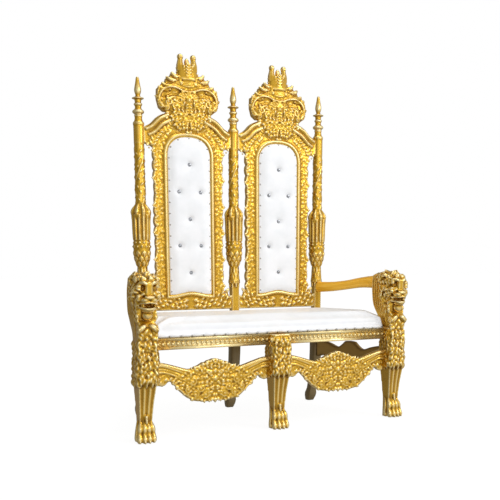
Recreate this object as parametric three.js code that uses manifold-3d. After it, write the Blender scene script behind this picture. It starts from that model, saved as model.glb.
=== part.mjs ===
// A carved and gilded double throne, about as tall as a person: two tall upholstered backs under crowned
// crests, three spired back posts, one wide seat, lion-headed front posts that carry the arms, paw feet.
// Millimetres, +Z up. The sitters face -Y. The origin is on the floor, under the middle of the throne.
import * as THREE from 'three';
import { mergeVertices } from 'three/addons/utils/BufferGeometryUtils.js';
import Module from 'manifold-3d';

const wasm = await Module();
wasm.setup();

// ---------------------------------------------------------------- driving dimensions
const JOINT_GAP = 0.3; // between two pieces that meet face to face
const RAIL_BOTTOM = 390;
const RAIL_TOP = 440;
const SEAT_TOP = 526; // crown of the seat upholstery
const FRONT_X = 636; // middle of an outer front post; the front posts' middle is at y = 0
const BLOCK = { halfWidth: 44, halfDepth: 46, bottom: 250 }; // the square block at the head of a front leg
const BACK_X = 489.5; // middle of an outer back post where it stands on its leg
const BACK_Y = 500;
const LEG_HALF = 27; // half the square head of a back leg
const POST_HALF = 22;
const POST_TOP = 1500;
const BAY_X = BACK_X / 2; // middle of one of the two backs
const FRAME_HALF = BAY_X - POST_HALF - JOINT_GAP; // a back frame reaches the posts on both sides
const FRAME_Y = [484, 516];
const OPENING = { halfWidth: 109, bottom: 606, spring: 1310, top: 1404 };
const CREST_SEAT = 1525; // flat top of a back frame, where its crest stands
const CROWN_TIP = 1815; // middle of the balls on a crest's crown
const FAN = 0.06 / 1251; // the back grows wider upwards by this share per millimetre
const RECLINE = 0.0158; // and leans back by this much per millimetre

// ---------------------------------------------------------------- materials
const finish = (color, roughness, metalness) => (
  new THREE.MeshStandardMaterial({ color, roughness, metalness }));
const GILT = finish('#d9a53a', 0.3, 0.9);
const GILT_SHADE = finish('#b98a34', 0.4, 0.8);
const VINYL = finish('#f4f3f1', 0.45, 0);
const CRYSTAL = finish('#c9ced6', 0.08, 0);

// ---------------------------------------------------------------- making solids
// A closed three.js geometry as a solid that can be joined and cut.
function solid(geometry) {
  const bare = new THREE.BufferGeometry();
  const corners = geometry.index ? geometry.toNonIndexed() : geometry;
  bare.setAttribute('position', corners.getAttribute('position'));
  const merged = mergeVertices(bare, 1e-3);
  const triVerts = new Uint32Array(merged.index.array);
  const vertProperties = merged.attributes.position.array;
  const made = new wasm.Manifold(new wasm.Mesh({ numProp: 3, vertProperties, triVerts }));
  if (made.volume() >= 0) return made;
  // A mirrored solid comes out inside out, so each triangle is turned round.
  for (let i = 0; i < triVerts.length; i += 3) {
    [triVerts[i], triVerts[i + 1]] = [triVerts[i + 1], triVerts[i]];
  }
  return new wasm.Manifold(new wasm.Mesh({ numProp: 3, vertProperties, triVerts }));
}

function geometryOf(made) {
  const mesh = made.getMesh();
  const geometry = new THREE.BufferGeometry();
  geometry.setAttribute('position', new THREE.BufferAttribute(mesh.vertProperties, 3));
  geometry.setIndex(new THREE.BufferAttribute(mesh.triVerts, 1));
  return geometry;
}

const joined = (...pieces) => pieces.flat().reduce((whole, piece) => whole.add(piece));

// Moves every corner of a geometry or solid to where `move` puts it.
function reshaped(shape, move) {
  const geometry = shape.isBufferGeometry ? shape : geometryOf(shape);
  const position = geometry.getAttribute('position');
  const point = new THREE.Vector3();
  for (let i = 0; i < position.count; i += 1) {
    point.fromBufferAttribute(position, i);
    position.setXYZ(i, ...move(point.clone()).toArray());
  }
  return solid(geometry);
}

const moved = (shape, x, y, z) => reshaped(shape, (p) => p.add(new THREE.Vector3(x, y, z)));
const mirrored = (shape) => reshaped(shape, (p) => p.setX(-p.x));
const bothSides = (shape) => [shape, mirrored(shape)];

// A drawing in x and z, given its thickness from y[0] to y[1].
function slab(outline, y) {
  const geometry = new THREE.ExtrudeGeometry(outline, { depth: y[1] - y[0], bevelEnabled: false });
  return solid(geometry.rotateX(Math.PI / 2).translate(0, y[1], 0));
}

// A plan in x and y, given its height from z[0] to z[1].
function plank(plan, z) {
  const shape = new THREE.Shape(plan.map(([x, y]) => new THREE.Vector2(x, y)));
  const geometry = new THREE.ExtrudeGeometry(shape, { depth: z[1] - z[0], bevelEnabled: false });
  return solid(geometry.translate(0, 0, z[0]));
}

const block = (x, y, z) => solid(new THREE.BoxGeometry(x[1] - x[0], y[1] - y[0], z[1] - z[0])
  .translate((x[0] + x[1]) / 2, (y[0] + y[1]) / 2, (z[0] + z[1]) / 2));

// An egg-shaped boss.
const boss = (centre, radii) => reshaped(new THREE.SphereGeometry(1, 6, 3), (p) => (
  new THREE.Vector3(centre[0] + p.x * radii[0], centre[1] + p.z * radii[1], centre[2] + p.y * radii[2])));

// One carved leaf or lock of hair: a long lozenge with its crown near the heel. It lies against a surface
// that looks along `facing`, and points along `angle`, counted from the right of someone who faces it.
const FRONT = new THREE.Vector3(0, -1, 0);

function leaf(centre, [length, width, height], angle, facing = FRONT) {
  const right = new THREE.Vector3(0, 0, 1).cross(facing);
  return reshaped(new THREE.OctahedronGeometry(1, 0), (p) => {
    const forward = (p.x - 0.25 * (1 - Math.abs(p.x))) * (length / 2);
    const across = p.y * (width / 2);
    const point = new THREE.Vector3(...centre).addScaledVector(facing, p.z * height);
    point.addScaledVector(right, forward * Math.cos(angle) - across * Math.sin(angle));
    return point.setZ(point.z + forward * Math.sin(angle) + across * Math.cos(angle));
  });
}

// The value of a list of numbers at a share t of its length, straight between entries.
function along(list, t) {
  const place = t * (list.length - 1);
  const low = Math.min(Math.floor(place), list.length - 2);
  return THREE.MathUtils.lerp(list[low], list[low + 1], place - low);
}

// A tapering limb round a smooth curve, such as a scroll or an arm. `flat` scales it along `facing`.
function limb(points, radii, { sides = 4, steps = 2, flat = 1, facing = [0, 1, 0] } = {}) {
  const curve = new THREE.CatmullRomCurve3(points.map((p) => new THREE.Vector3(...p)));
  const towards = new THREE.Vector3(...facing);
  return reshaped(new THREE.CylinderGeometry(1, 1, 1, sides, steps), (p) => {
    const t = Math.round((p.y + 0.5) * steps) / steps;
    const tangent = curve.getTangentAt(t);
    const out = towards.clone().addScaledVector(tangent, -towards.dot(tangent)).normalize();
    const side = new THREE.Vector3().crossVectors(out, tangent);
    const radius = along(radii, t);
    const point = curve.getPointAt(t).addScaledVector(side, p.x * radius);
    return point.addScaledVector(out, p.z * radius * flat);
  });
}

// Points of a smooth line through the given ones, without its last point.
function smooth(points, count) {
  const curve = new THREE.SplineCurve(points.map(([x, z]) => new THREE.Vector2(x, z)));
  return curve.getPoints(count).slice(0, -1);
}

// A closed drawing, symmetric about x = 0, from its right half, which runs from the bottom up.
function symmetric(half) {
  const points = half.map((p) => (Array.isArray(p) ? new THREE.Vector2(...p) : p));
  const left = points.slice().reverse().filter((p) => p.x > 1e-6);
  return new THREE.Shape([...points, ...left.map((p) => new THREE.Vector2(-p.x, p.y))]);
}

// A turned or squared column on the z axis: levels of [z, half width, half depth, y of its middle]. Every
// other corner is drawn in by the share `flute`, and each level is turned by `twist` from the one below.
function column(levels, { sides = 8, flute = () => 0, twist = 0 } = {}) {
  const turn = Math.PI / sides;
  const flatScale = 1 / Math.cos(turn);
  const raw = new THREE.CylinderGeometry(1, 1, 1, sides, levels.length - 1);
  return reshaped(raw, (p) => {
    const level = Math.round((p.y + 0.5) * (levels.length - 1));
    const [z, halfWidth, halfDepth, middle = 0] = levels[level];
    const corner = Math.atan2(p.z, p.x) / (2 * turn);
    const radius = Math.hypot(p.x, p.z) * flatScale * (1 - (Math.abs(Math.round(corner)) % 2) * flute(z));
    const angle = (corner * 2 + 1) * turn + level * twist;
    const x = radius * Math.cos(angle) * halfWidth;
    return new THREE.Vector3(x, middle - radius * Math.sin(angle) * halfDepth, z);
  });
}

// ---------------------------------------------------------------- front posts and legs
// Paw foot, fluted shank and square block: the part that all three front legs share, on x = 0.
// z, half width, y of the front and y of the back
const SHANK = [[0, 30, 8, 40], [92, 25, -14, 38], [BLOCK.bottom, 34, -38, 46]];

function shank() {
  // The plan of a leg two units wide and two deep, with three flutes in its front.
  const plan = [[1, 1], [-1, 1], [-1, -0.8], [-0.8, -1], [-0.6, -0.72], [-0.35, -1], [0, -0.72], [0.35, -1],
    [0.6, -0.72], [0.8, -1], [1, -0.8]];
  const shape = new THREE.Shape(plan.map(([x, y]) => new THREE.Vector2(x, y)));
  const raw = new THREE.ExtrudeGeometry(shape, { depth: 1, steps: SHANK.length - 1, bevelEnabled: false });
  return reshaped(raw, (p) => {
    const [z, halfWidth, front, back] = SHANK[Math.round(p.z * (SHANK.length - 1))];
    return new THREE.Vector3(p.x * halfWidth, THREE.MathUtils.mapLinear(p.y, -1, 1, front, back), z);
  });
}

function pawLeg(blockTop) {
  const { halfWidth, halfDepth, bottom } = BLOCK;
  const square = block([-halfWidth, halfWidth], [-halfDepth, halfDepth], [bottom, blockTop]);
  const toes = [-1.5, -0.5, 0.5, 1.5].map((place) => {
    const back = Math.abs(place) * 5;
    return limb([[place * 10, -6 + back, 84], [place * 17, -22 + back, 50], [place * 21, -30 + back, 14]],
      [8, 12, 13], { facing: [0, -1, 0] });
  });
  const tongue = leaf([0, -18, 104], [44, 22, 12], -Math.PI / 2);
  return joined(shank(), square, toes, tongue);
}

// Overlapping curls that cover a block's front, in rows of three and two by turns.
function curls(bottom, top) {
  const rows = 3;
  return Array.from({ length: rows }, (_, row) => {
    const z = bottom + ((row + 0.5) * (top - bottom)) / rows;
    return (row % 2 ? [-0.5, 0.5] : [-1, 0, 1]).map((place) => leaf(
      [place * 27, -BLOCK.halfDepth, z], [52, 24, 10], Math.PI / 2 + place * 0.2));
  }).flat();
}

function centreLeg() {
  const volutes = bothSides(boss([BLOCK.halfWidth, -22, 370], [9, 18, 20]));
  return joined(pawLeg(RAIL_TOP), curls(262, RAIL_TOP - 10), volutes);
}

const LION = { x: 4, halfWidth: 44, back: 112, top: 724, middle: 640 };

// The neck and head that rise from the block and lean back to carry the arm, seen from the side: [y, z].
function lionNeck() {
  const foot = RAIL_TOP - 4;
  const front = [[-34, foot], [-38, 468], [-58, 482], [-56, 500], [-34, 516], [-42, 550], [-50, 600],
    [-52, 670], [-32, 710], [10, LION.top]];
  const back = [[88, LION.top - 6], [LION.back, 700], [LION.back, 580], [92, 540], [52, 486], [34, foot]];
  const outline = new THREE.Shape([...front, ...back].map(([y, z]) => new THREE.Vector2(y, z)));
  const bevel = 12;
  const geometry = new THREE.ExtrudeGeometry(outline, {
    depth: 2 * (LION.halfWidth - bevel),
    bevelSize: bevel,
    bevelThickness: bevel,
    bevelOffset: -bevel,
    bevelSegments: 1,
  });
  // The drawing's x is the post's y and its y is the post's z; its thickness runs along x.
  return reshaped(geometry, (p) => new THREE.Vector3(LION.x + LION.halfWidth - bevel - p.z, p.x, p.y));
}

function lionFace() {
  const at = (x, y, z) => [LION.x + x, y, z];
  const muzzle = boss(at(0, -56, 604), [28, 26, 26]);
  const nose = limb([at(0, -52, 668), at(0, -70, 645), at(0, -78, 618)], [13, 10, 12]);
  const jaw = boss(at(0, -46, 562), [20, 28, 13]);
  const pairs = [-1, 1].flatMap((side) => [
    leaf(at(side * 20, -56, 652), [38, 18, 16], Math.PI / 2 - side * 1.3), // brow
    leaf(at(side * 30, -50, 618), [52, 26, 20], Math.PI / 2 - side * 0.2), // cheek
  ]);
  return joined(muzzle, nose, jaw, pairs);
}

// Locks that spread from the face in two rings, and longer ones that hang down the sides of the neck.
function lionMane() {
  const ring = (count, y, rise, spread, length) => Array.from({ length: count }, (_, i) => {
    const angle = THREE.MathUtils.degToRad(-120 + (240 * i) / (count - 1));
    const x = LION.x + Math.sin(angle) * spread;
    return leaf([x, y, LION.middle + Math.cos(angle) * rise], [length, 28, 16], Math.PI / 2 - angle);
  });
  const onSides = [-1, 1].flatMap((side) => {
    const facing = new THREE.Vector3(side, 0, 0);
    const places = [[24, 676], [72, 624]];
    return places.map(([y, z]) => leaf([LION.x + side * (LION.halfWidth - 2), y, z], [58, 24, 9],
      -Math.PI / 2 - side * 0.6, facing));
  });
  return [...ring(8, -44, 50, 38, 48), ...ring(5, -8, 66, 44, 58), ...onSides];
}

function lionPost() {
  const knob = boss([0, -58, 491], [25, 17, 15]);
  const leg = joined(pawLeg(RAIL_TOP + 6), curls(262, RAIL_TOP - 10));
  const behindLion = block([-70, 70], [LION.back, 200], [500, 760]);
  return joined(leg, lionNeck(), lionFace(), lionMane(), knob).subtract(behindLion);
}

// ---------------------------------------------------------------- seat frame
const postSide = BLOCK.halfWidth + JOINT_GAP;

// One half of the front rail, from the centre leg to an outer post: two bands, and beads between them.
function frontRail() {
  const ends = [postSide, FRONT_X - postSide];
  const front = 4;
  const board = block(ends, [front, front + 36], [RAIL_BOTTOM, RAIL_TOP]);
  const bands = [[RAIL_BOTTOM, RAIL_BOTTOM + 14], [RAIL_TOP - 13, RAIL_TOP]].map((z) => block(
    ends, [front - 7, front + 4], z));
  const beadCount = 21;
  const pitch = (ends[1] - ends[0]) / beadCount;
  const plan = [[ends[1], front + 2], [ends[0], front + 2], [ends[0], front - 1]];
  for (let i = 0; i < beadCount; i += 1) {
    plan.push([ends[0] + (i + 0.5) * pitch, front - 9], [ends[0] + (i + 1) * pitch, front - 1]);
  }
  return joined(board, bands, plank(plan, [RAIL_BOTTOM + 19, RAIL_TOP - 18]));
}

const sideRailFront = BLOCK.halfDepth + JOINT_GAP;
const sideRailBack = BACK_Y - LEG_HALF - JOINT_GAP;

// x of a side rail's outer face at a given y: the seat is narrower at the back.
const sideX = (y) => THREE.MathUtils.mapLinear(y, sideRailFront, sideRailBack, FRONT_X + 20, BACK_X + 20);

function sideRail() {
  const strip = (out, inside, z) => plank([
    [sideX(sideRailFront) - inside, sideRailFront], [sideX(sideRailFront) + out, sideRailFront],
    [sideX(sideRailBack) + out, sideRailBack], [sideX(sideRailBack) - inside, sideRailBack],
  ], z);
  return joined(strip(0, 38, [RAIL_BOTTOM, RAIL_TOP]), strip(6, 3, [RAIL_TOP - 13, RAIL_TOP]),
    strip(6, 3, [RAIL_BOTTOM, RAIL_BOTTOM + 14]));
}

function backRail() {
  const ends = [LEG_HALF + JOINT_GAP, BACK_X - LEG_HALF - JOINT_GAP];
  return block(ends, [BACK_Y - 16, BACK_Y + 20], [RAIL_BOTTOM, RAIL_TOP]);
}

// ---------------------------------------------------------------- aprons
const APRON = { middle: FRONT_X / 2, half: FRONT_X / 2 - postSide, y: [-8, 18] };

// The serpentine outline of a front apron: a deep scalloped middle between two necks.
function apronOutline() {
  const at = (share, z) => [share * APRON.half, z];
  const lower = smooth([at(0, 157), at(0.2, 157), at(0.4, 170), at(0.52, 194), at(0.66, 236), at(0.77, 257),
    at(0.86, 243), at(1, 238)], 11);
  const upper = smooth([at(1, 331), at(0.84, 329), at(0.66, 318), at(0.45, 299), at(0.36, 301)], 6);
  const scallops = [[0.36, 301], [0.32, 313], [0.25, 314], [0.21, 327], [0.12, 326], [0.08, 335], [0, 339]];
  return symmetric([...lower, at(1, 238), ...upper, ...scallops.map(([share, z]) => at(share, z))]);
}

function frontApron() {
  const board = slab(apronOutline(), APRON.y);
  const face = APRON.y[0];
  const spray = (count, step, z, reach, size, base) => Array.from({ length: count }, (_, i) => {
    const angle = base + (i - (count - 1) / 2) * step;
    return leaf([Math.cos(angle) * reach[0], face, z + Math.sin(angle) * reach[1]], size, angle);
  });
  const shell = spray(5, 0.5, 262, [46, 36], [68, 26, 12], Math.PI / 2);
  const skirt = spray(3, 0.75, 244, [64, 42], [76, 34, 12], -Math.PI / 2);
  const centre = boss([0, face, 250], [24, 14, 18]);
  const wing = [
    limb([[APRON.half - 22, face, 316], [200, face - 2, 306], [150, face - 2, 280], [112, face, 262]],
      [5, 9, 10, 4]),
    ...[0, 1, 2].map((i) => leaf([104 + i * 30, face, 222 + i * 17], [56, 26, 9], 0.5 + i * 0.1)),
    leaf([226, face, 272], [60, 28, 9], -0.3),
  ];
  return joined(board, shell, skirt, centre, bothSides(joined(wing)));
}

// A side apron stands between a front post and a back leg, set slantwise like the rail above it.
function sideApron() {
  const run = sideRailBack - sideRailFront;
  const at = (share, z) => [(share * run) / 2, z];
  const lower = smooth([at(0, 182), at(0.3, 194), at(0.6, 250), at(0.78, 270), at(1, 256)], 7);
  const upper = smooth([at(1, 346), at(0.6, 330), at(0.34, 316), at(0.12, 350), at(0, 352)], 5);
  const board = slab(symmetric([...lower, at(1, 256), ...upper, at(0, 352)]), [-13, 13]);
  return reshaped(board, (p) => {
    const y = THREE.MathUtils.mapLinear(p.x, -run / 2, run / 2, sideRailFront, sideRailBack);
    return new THREE.Vector3(sideX(y) - 19 - p.y, y, p.z);
  });
}

// ---------------------------------------------------------------- back legs
// y of a back leg's middle at height z: the leg sweeps backwards to its foot.
const sweep = (z) => BACK_Y + 70 * (1 - Math.min(z / 320, 1)) ** 1.7;

function backLeg() {
  const heights = [0, 16, 42, 66, 150, 250];
  const halves = [19, 25, 26, 21, 23, LEG_HALF - 1];
  const levels = heights.map((z, i) => [z, halves[i], halves[i], sweep(z)]);
  return column([...levels, [350, LEG_HALF, LEG_HALF, BACK_Y], [RAIL_TOP, LEG_HALF, LEG_HALF, BACK_Y]]);
}

// ---------------------------------------------------------------- arms
function arm() {
  const start = [FRONT_X, LION.back - 10, 672];
  const end = [BACK_X + 6, BACK_Y, 636];
  const raw = limb([start, [600, 222, 667], [546, 356, 640], end], [30, 28, 27, 28],
    { sides: 8, steps: 5, facing: [0, 0, 1], flat: 1.15 });
  const beyondLion = block([500, 700], [0, LION.back + JOINT_GAP], [560, 760]);
  const beyondPost = fanned(block([400, 600], [BACK_Y - POST_HALF - JOINT_GAP, 600], [560, 760]));
  return raw.subtract(beyondLion).subtract(beyondPost);
}

// ---------------------------------------------------------------- seat upholstery
// The seat's plan: it fills the front between the posts and then widens to the side rails behind them.
function seatPad() {
  const back = BACK_Y - POST_HALF - 4;
  const behindPost = sideRailFront + 32;
  const betweenPosts = FRONT_X - postSide - 2;
  const half = [[betweenPosts, -1], [betweenPosts, behindPost], [sideX(behindPost) - 2, behindPost],
    [sideX(back) - 2, back]];
  const plan = [...half, ...half.slice().reverse().map(([x, y]) => [-x, y])];
  const shape = new THREE.Shape(plan.map(([x, y]) => new THREE.Vector2(x, y)));
  const bevel = 16;
  const layer = (inset, z) => solid(new THREE.ExtrudeGeometry(shape, {
    depth: z[1] - z[0] - bevel,
    bevelSegments: 1,
    bevelSize: bevel,
    bevelThickness: bevel,
    bevelOffset: -inset - bevel,
  }).translate(0, 0, z[0]));
  const below = block([-700, 700], [-100, 600], [RAIL_TOP - 60, RAIL_TOP + JOINT_GAP]);
  return joined(layer(0, [RAIL_TOP - 10, SEAT_TOP - 14]), layer(40, [RAIL_TOP, SEAT_TOP])).subtract(below);
}

// ---------------------------------------------------------------- the back
// Everything in the back leans and spreads a little as it rises.
function fanned(shape) {
  return reshaped(shape, ({ x, y, z }) => {
    const rise = z - RAIL_TOP;
    return new THREE.Vector3(x * (1 + FAN * rise), y + RECLINE * rise, z);
  });
}

// A back post: a plain foot, a reeded vase, a shaft twisted like a vine and a plain top for the frames.
function backPost() {
  const atPost = (levels) => levels.map(([z, half]) => [z, half, half, BACK_Y]);
  const foot = column(atPost([[RAIL_TOP + JOINT_GAP, POST_HALF], [680, POST_HALF], [742, 27]]));
  const vase = column(atPost([[736, 30], [780, 38], [890, 35], [1000, 41], [1022, 34], [1044, 21]]),
    { sides: 12, flute: (z) => (z < 770 || z > 1030 ? 0 : 0.17) });
  const turns = Array.from({ length: 7 }, (_, i) => [1040 + i * 51, 18]);
  const vine = column(atPost(turns), { sides: 4, twist: 0.5 });
  const top = column(atPost([[1344, 19], [1350, POST_HALF], [1458, POST_HALF], [1472, 18],
    [POST_TOP, 19]]));
  return joined(foot, vase, vine, top);
}

// The spire that a turner makes for the top of a post.
function spire() {
  const profile = [[0, 0], [18, 0], [28, 12], [17, 30], [19, 58], [27, 82], [10, 95], [16, 120], [7, 186],
    [0, 190]];
  const points = profile.map(([r, z]) => new THREE.Vector2(r, z));
  return moved(new THREE.LatheGeometry(points, 8).rotateX(Math.PI / 2), 0, BACK_Y, POST_TOP + JOINT_GAP);
}

// The opening that the padded panel fills: a straight-sided arch whose foot bows up in the middle.
function opening(margin) {
  const half = OPENING.halfWidth + margin;
  const rise = OPENING.top + margin - OPENING.spring;
  const arch = Array.from({ length: 5 }, (_, i) => {
    const angle = (i / 5) * (Math.PI / 2);
    return [half * Math.cos(angle) ** 0.8, OPENING.spring + rise * Math.sin(angle)];
  });
  const foot = OPENING.bottom - margin;
  const bow = [[0, foot + 16], [half * 0.45, foot + 11], [half * 0.8, foot], [half, foot]];
  return symmetric([...bow, ...arch, [0, OPENING.top + margin]]);
}

function cutOpening(outline) {
  outline.holes.push(new THREE.Path(opening(0).getPoints().reverse()));
}

// The outer edge of a back frame: a foot and a shoulder that reach the posts, and a wavy side between them.
function frameOutline() {
  const lobes = 7;
  const wavy = [612, 1340];
  const wave = Array.from({ length: 2 * lobes + 1 }, (_, i) => [
    i % 2 ? 186 : 173, THREE.MathUtils.lerp(...wavy, i / (2 * lobes))]);
  const shoulder = smooth([[FRAME_HALF - 4, 1442], [185, 1462], [148, 1500], [94, CREST_SEAT]], 4);
  return symmetric([[0, 529], [FRAME_HALF, 529], [FRAME_HALF, 584], [192, 592], ...wave, [190, 1358],
    [FRAME_HALF, 1368], [FRAME_HALF, 1440], ...shoulder, [94, CREST_SEAT], [0, CREST_SEAT]]);
}

function backFrame() {
  const outline = frameOutline();
  cutOpening(outline);
  const face = FRAME_Y[0];
  const moulding = opening(22);
  cutOpening(moulding);
  const sideLeaves = Array.from({ length: 6 }, (_, i) => leaf([153, face, 670 + i * 118], [104, 34, 11],
    Math.PI / 2 + (i % 2 ? 0.1 : -0.1)));
  const spandrel = leaf([150, face, 1392], [96, 34, 11], 2.1);
  const ogee = limb([[FRAME_HALF - 12, face, 1412], [180, face - 3, 1432], [140, face - 3, 1470],
    [98, face, 1496]], [12, 17, 17, 12]);
  const foot = leaf([126, face, 562], [120, 38, 11], 0.1);
  const withinHalf = block([1, FRAME_HALF], [0, 600], [529, CREST_SEAT]);
  const half = joined(sideLeaves, spandrel, ogee, foot).intersect(withinHalf);
  return joined(slab(outline, FRAME_Y), slab(moulding, [face - 9, face + 6]), bothSides(half),
    leaf([0, face, 573], [62, 44, 11], Math.PI / 2));
}

function backPad() {
  const y = [FRAME_Y[0] - 4, FRAME_Y[1] - 3];
  return joined(slab(opening(-JOINT_GAP), y), slab(opening(-12), [y[0] - 7, y[0] + 2]));
}

// The crown on top of a crest: a tapering band with two tall balled prongs and a lower bud between them.
function crown(y) {
  const band = column([[1700, 54, 30, y], [1718, 51, 27, y], [1772, 45, 25, y]]);
  const prongs = [-1, 0, 1].map((place) => {
    const tip = CROWN_TIP - (place ? 0 : 18);
    const stalk = limb([[place * 39, y, 1764], [place * 33, y, tip]], [11, 8], { steps: 1 });
    return joined(stalk, boss([place * 33, y, tip], [17, 17, 16]));
  });
  return joined(band, prongs);
}

// The crest: a crown over a fan of leaves, two great scrolls, and leafwork that hangs over the arch.
function crest() {
  const y = BACK_Y;
  const face = y - 17;
  const bottom = CREST_SEAT + JOINT_GAP;
  const outline = symmetric([[0, bottom], [98, bottom], [124, 1526], [142, 1546], [154, 1590], [152, 1642],
    [134, 1645], [130, 1663], [112, 1668], [107, 1699], [88, 1703], [82, 1728], [66, 1712], [52, 1720],
    [0, 1730]]);
  const plumes = [1, 2, 3].map((i) => leaf(
    [40 + i * 20, face, 1720 - i * 23], [62, 24, 11], 1.3 - i * 0.25));
  const scroll = limb([[14, face, 1644], [62, face - 2, 1652], [112, face - 4, 1634], [137, face - 5, 1596],
    [120, face - 4, 1558], [98, face - 3, 1576]], [8, 12, 14, 14, 11, 6], { steps: 6 });
  const innerLeaf = leaf([58, face, 1588], [76, 34, 11], 0.2);
  // The leafwork below the crest's seat lies in front of the frame's own face and mouldings.
  const over = FRAME_Y[0] - 16;
  const apron = symmetric([[0, 1424], [26, 1438], [54, 1430], [66, 1462], [94, 1468], [104, 1530],
    [60, 1540], [0, 1540]]);
  const hanging = slab(apron, [over - 8, over]);
  const bridge = block([-90, 90], [over - 4, y - 10], [bottom, 1542]);
  const hangingLeaves = [[24, 1460, -1.3], [66, 1482, -0.6]].map(([x, z, angle]) => leaf(
    [x, over - 8, z], [58, 28, 10], angle));
  const bosses = [boss([0, face, 1586], [32, 18, 28]), boss([0, over - 8, 1498], [26, 14, 24])];
  return joined(slab(outline, [y - 17, y + 15]), crown(y - 6), hanging, bridge, bosses,
    leaf([0, face, 1640], [56, 36, 13], Math.PI / 2),
    bothSides(joined(plumes, scroll, innerLeaf, hangingLeaves)));
}

// One faceted crystal button, with its back on a pad's face.
function button(x, z) {
  const faceY = FRAME_Y[0] - 11 - JOINT_GAP;
  const profile = [[0, 0], [10, 0], [0, 8]].map(([r, h]) => new THREE.Vector2(r, h));
  return moved(new THREE.LatheGeometry(profile, 8).rotateX(Math.PI), x, faceY, z);
}

// ---------------------------------------------------------------- assembly
const throne = new THREE.Group();

function place(name, made, material) {
  const mesh = new THREE.Mesh(geometryOf(made), material.clone());
  mesh.name = name;
  throne.add(mesh);
}

// A piece for the right side, +X, and its mirror image for the left.
function placePair(name, made, material) {
  place(`${name}_right`, made, material);
  place(`${name}_left`, mirrored(made), material);
}

placePair('lion_post', moved(lionPost(), FRONT_X, 0, 0), GILT);
place('centre_leg', centreLeg(), GILT);
placePair('front_rail', frontRail(), GILT);
placePair('side_rail', sideRail(), GILT);
placePair('back_rail', backRail(), GILT_SHADE);
placePair('front_apron', moved(frontApron(), APRON.middle, 0, 0), GILT);
placePair('side_apron', sideApron(), GILT_SHADE);
placePair('back_leg', moved(backLeg(), BACK_X, 0, 0), GILT_SHADE);
place('back_leg_centre', backLeg(), GILT_SHADE);
placePair('arm', arm(), GILT);
place('seat_pad', seatPad(), VINYL);
placePair('back_post', fanned(moved(backPost(), BACK_X, 0, 0)), GILT);
place('back_post_centre', fanned(backPost()), GILT);
placePair('spire', fanned(moved(spire(), BACK_X, 0, 0)), GILT);
place('spire_centre', fanned(spire()), GILT);
placePair('back_frame', fanned(moved(backFrame(), BAY_X, 0, 0)), GILT);
placePair('crest', fanned(moved(crest(), BAY_X, 0, 0)), GILT);
placePair('back_pad', fanned(moved(backPad(), BAY_X, 0, 0)), VINYL);

// Seven buttons to a back: one, two, one, two, one, from the top down.
const BUTTON_ROWS = [[1264, [0]], [1125, [-56, 56]], [987, [0]], [853, [-56, 56]], [716, [0]]];
let buttonNumber = 0;
for (const [z, places] of BUTTON_ROWS) {
  for (const x of places) {
    buttonNumber += 1;
    placePair(`button_${buttonNumber}`, fanned(button(BAY_X + x, z)), CRYSTAL);
  }
}

// The whole throne is shifted along y so that the origin lies under its middle.
const bounds = new THREE.Box3().setFromObject(throne);
throne.position.set(0, -(bounds.min.y + bounds.max.y) / 2, 0);

export default throne;
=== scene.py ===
# %% [markdown]
# # A carved and gilded double throne
#
# This notebook dresses the solids of a double throne: two tall padded backs under crowned crests, three
# spired posts, one long seat, two lion-headed arm posts and six legs. The real one is a carved wooden frame
# under glossy gold paint, with white vinyl upholstery, crystal buttons and small bright nails. The solids
# say where everything is, so they are loaded first and every later piece is drawn on top of them.

# %% Load the solids
import math
import random

import bmesh
import bpy
import numpy as np
from mathutils import Matrix, Vector


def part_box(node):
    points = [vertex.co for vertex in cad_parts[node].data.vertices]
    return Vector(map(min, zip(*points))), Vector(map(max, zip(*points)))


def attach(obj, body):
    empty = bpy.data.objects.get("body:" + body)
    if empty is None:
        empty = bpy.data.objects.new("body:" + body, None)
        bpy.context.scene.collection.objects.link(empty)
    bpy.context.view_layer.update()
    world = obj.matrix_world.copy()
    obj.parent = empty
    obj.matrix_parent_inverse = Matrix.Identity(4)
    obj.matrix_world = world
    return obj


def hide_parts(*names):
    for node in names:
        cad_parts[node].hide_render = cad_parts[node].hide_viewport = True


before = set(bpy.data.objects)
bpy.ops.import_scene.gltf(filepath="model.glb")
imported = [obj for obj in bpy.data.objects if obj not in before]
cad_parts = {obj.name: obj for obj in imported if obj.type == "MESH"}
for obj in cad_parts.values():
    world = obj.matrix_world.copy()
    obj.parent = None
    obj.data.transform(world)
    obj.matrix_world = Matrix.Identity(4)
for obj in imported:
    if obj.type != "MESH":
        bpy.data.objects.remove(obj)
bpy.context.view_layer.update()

# %% [markdown]
# A joiner draws a throne in millimetres, and measures depth from the middle of the front posts. Blender
# counts in metres from the middle of the floor, so one number says how far the drawing is shifted. It comes
# from the back rail, whose front face is 484 mm behind the front posts.

# %% The maker's drawing
MM = 0.001
BACK_RAIL_FRONT = 484
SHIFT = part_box("back_rail_right")[0].y / MM - BACK_RAIL_FRONT

SEAT_RAIL_TOP = 440
FRONT_POST_X = 636        # middle of an outer front post
BACK_POST_X = 489.5       # middle of an outer back post, at the rail
BACK_Y = 500              # middle of the back posts
BAY_X = BACK_POST_X / 2   # middle of one of the two backs
FAN = 0.06 / 1251         # the back spreads by this share per millimetre of height
RECLINE = 0.0158          # and leans back by this many millimetres per millimetre of height
SIDES = (("right", 1), ("left", -1))
PLACES = SIDES + (("centre", 0),)


def leaned(point):
    """A point of the upright drawing of the back, put where the leaning and spreading back has it."""
    x, y, z = point
    rise = z - SEAT_RAIL_TOP
    return x * (1 + FAN * rise), y + RECLINE * rise, z


print("the drawing is shifted by", round(SHIFT, 1), "mm")

# %% [markdown]
# Every shader below is built with one small helper that adds a node, sets its sockets and links the
# outputs that feed it. Colours are written as the hex values a painter would pick from a fan deck, and one
# function turns them into the linear numbers that light is counted in.

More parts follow.
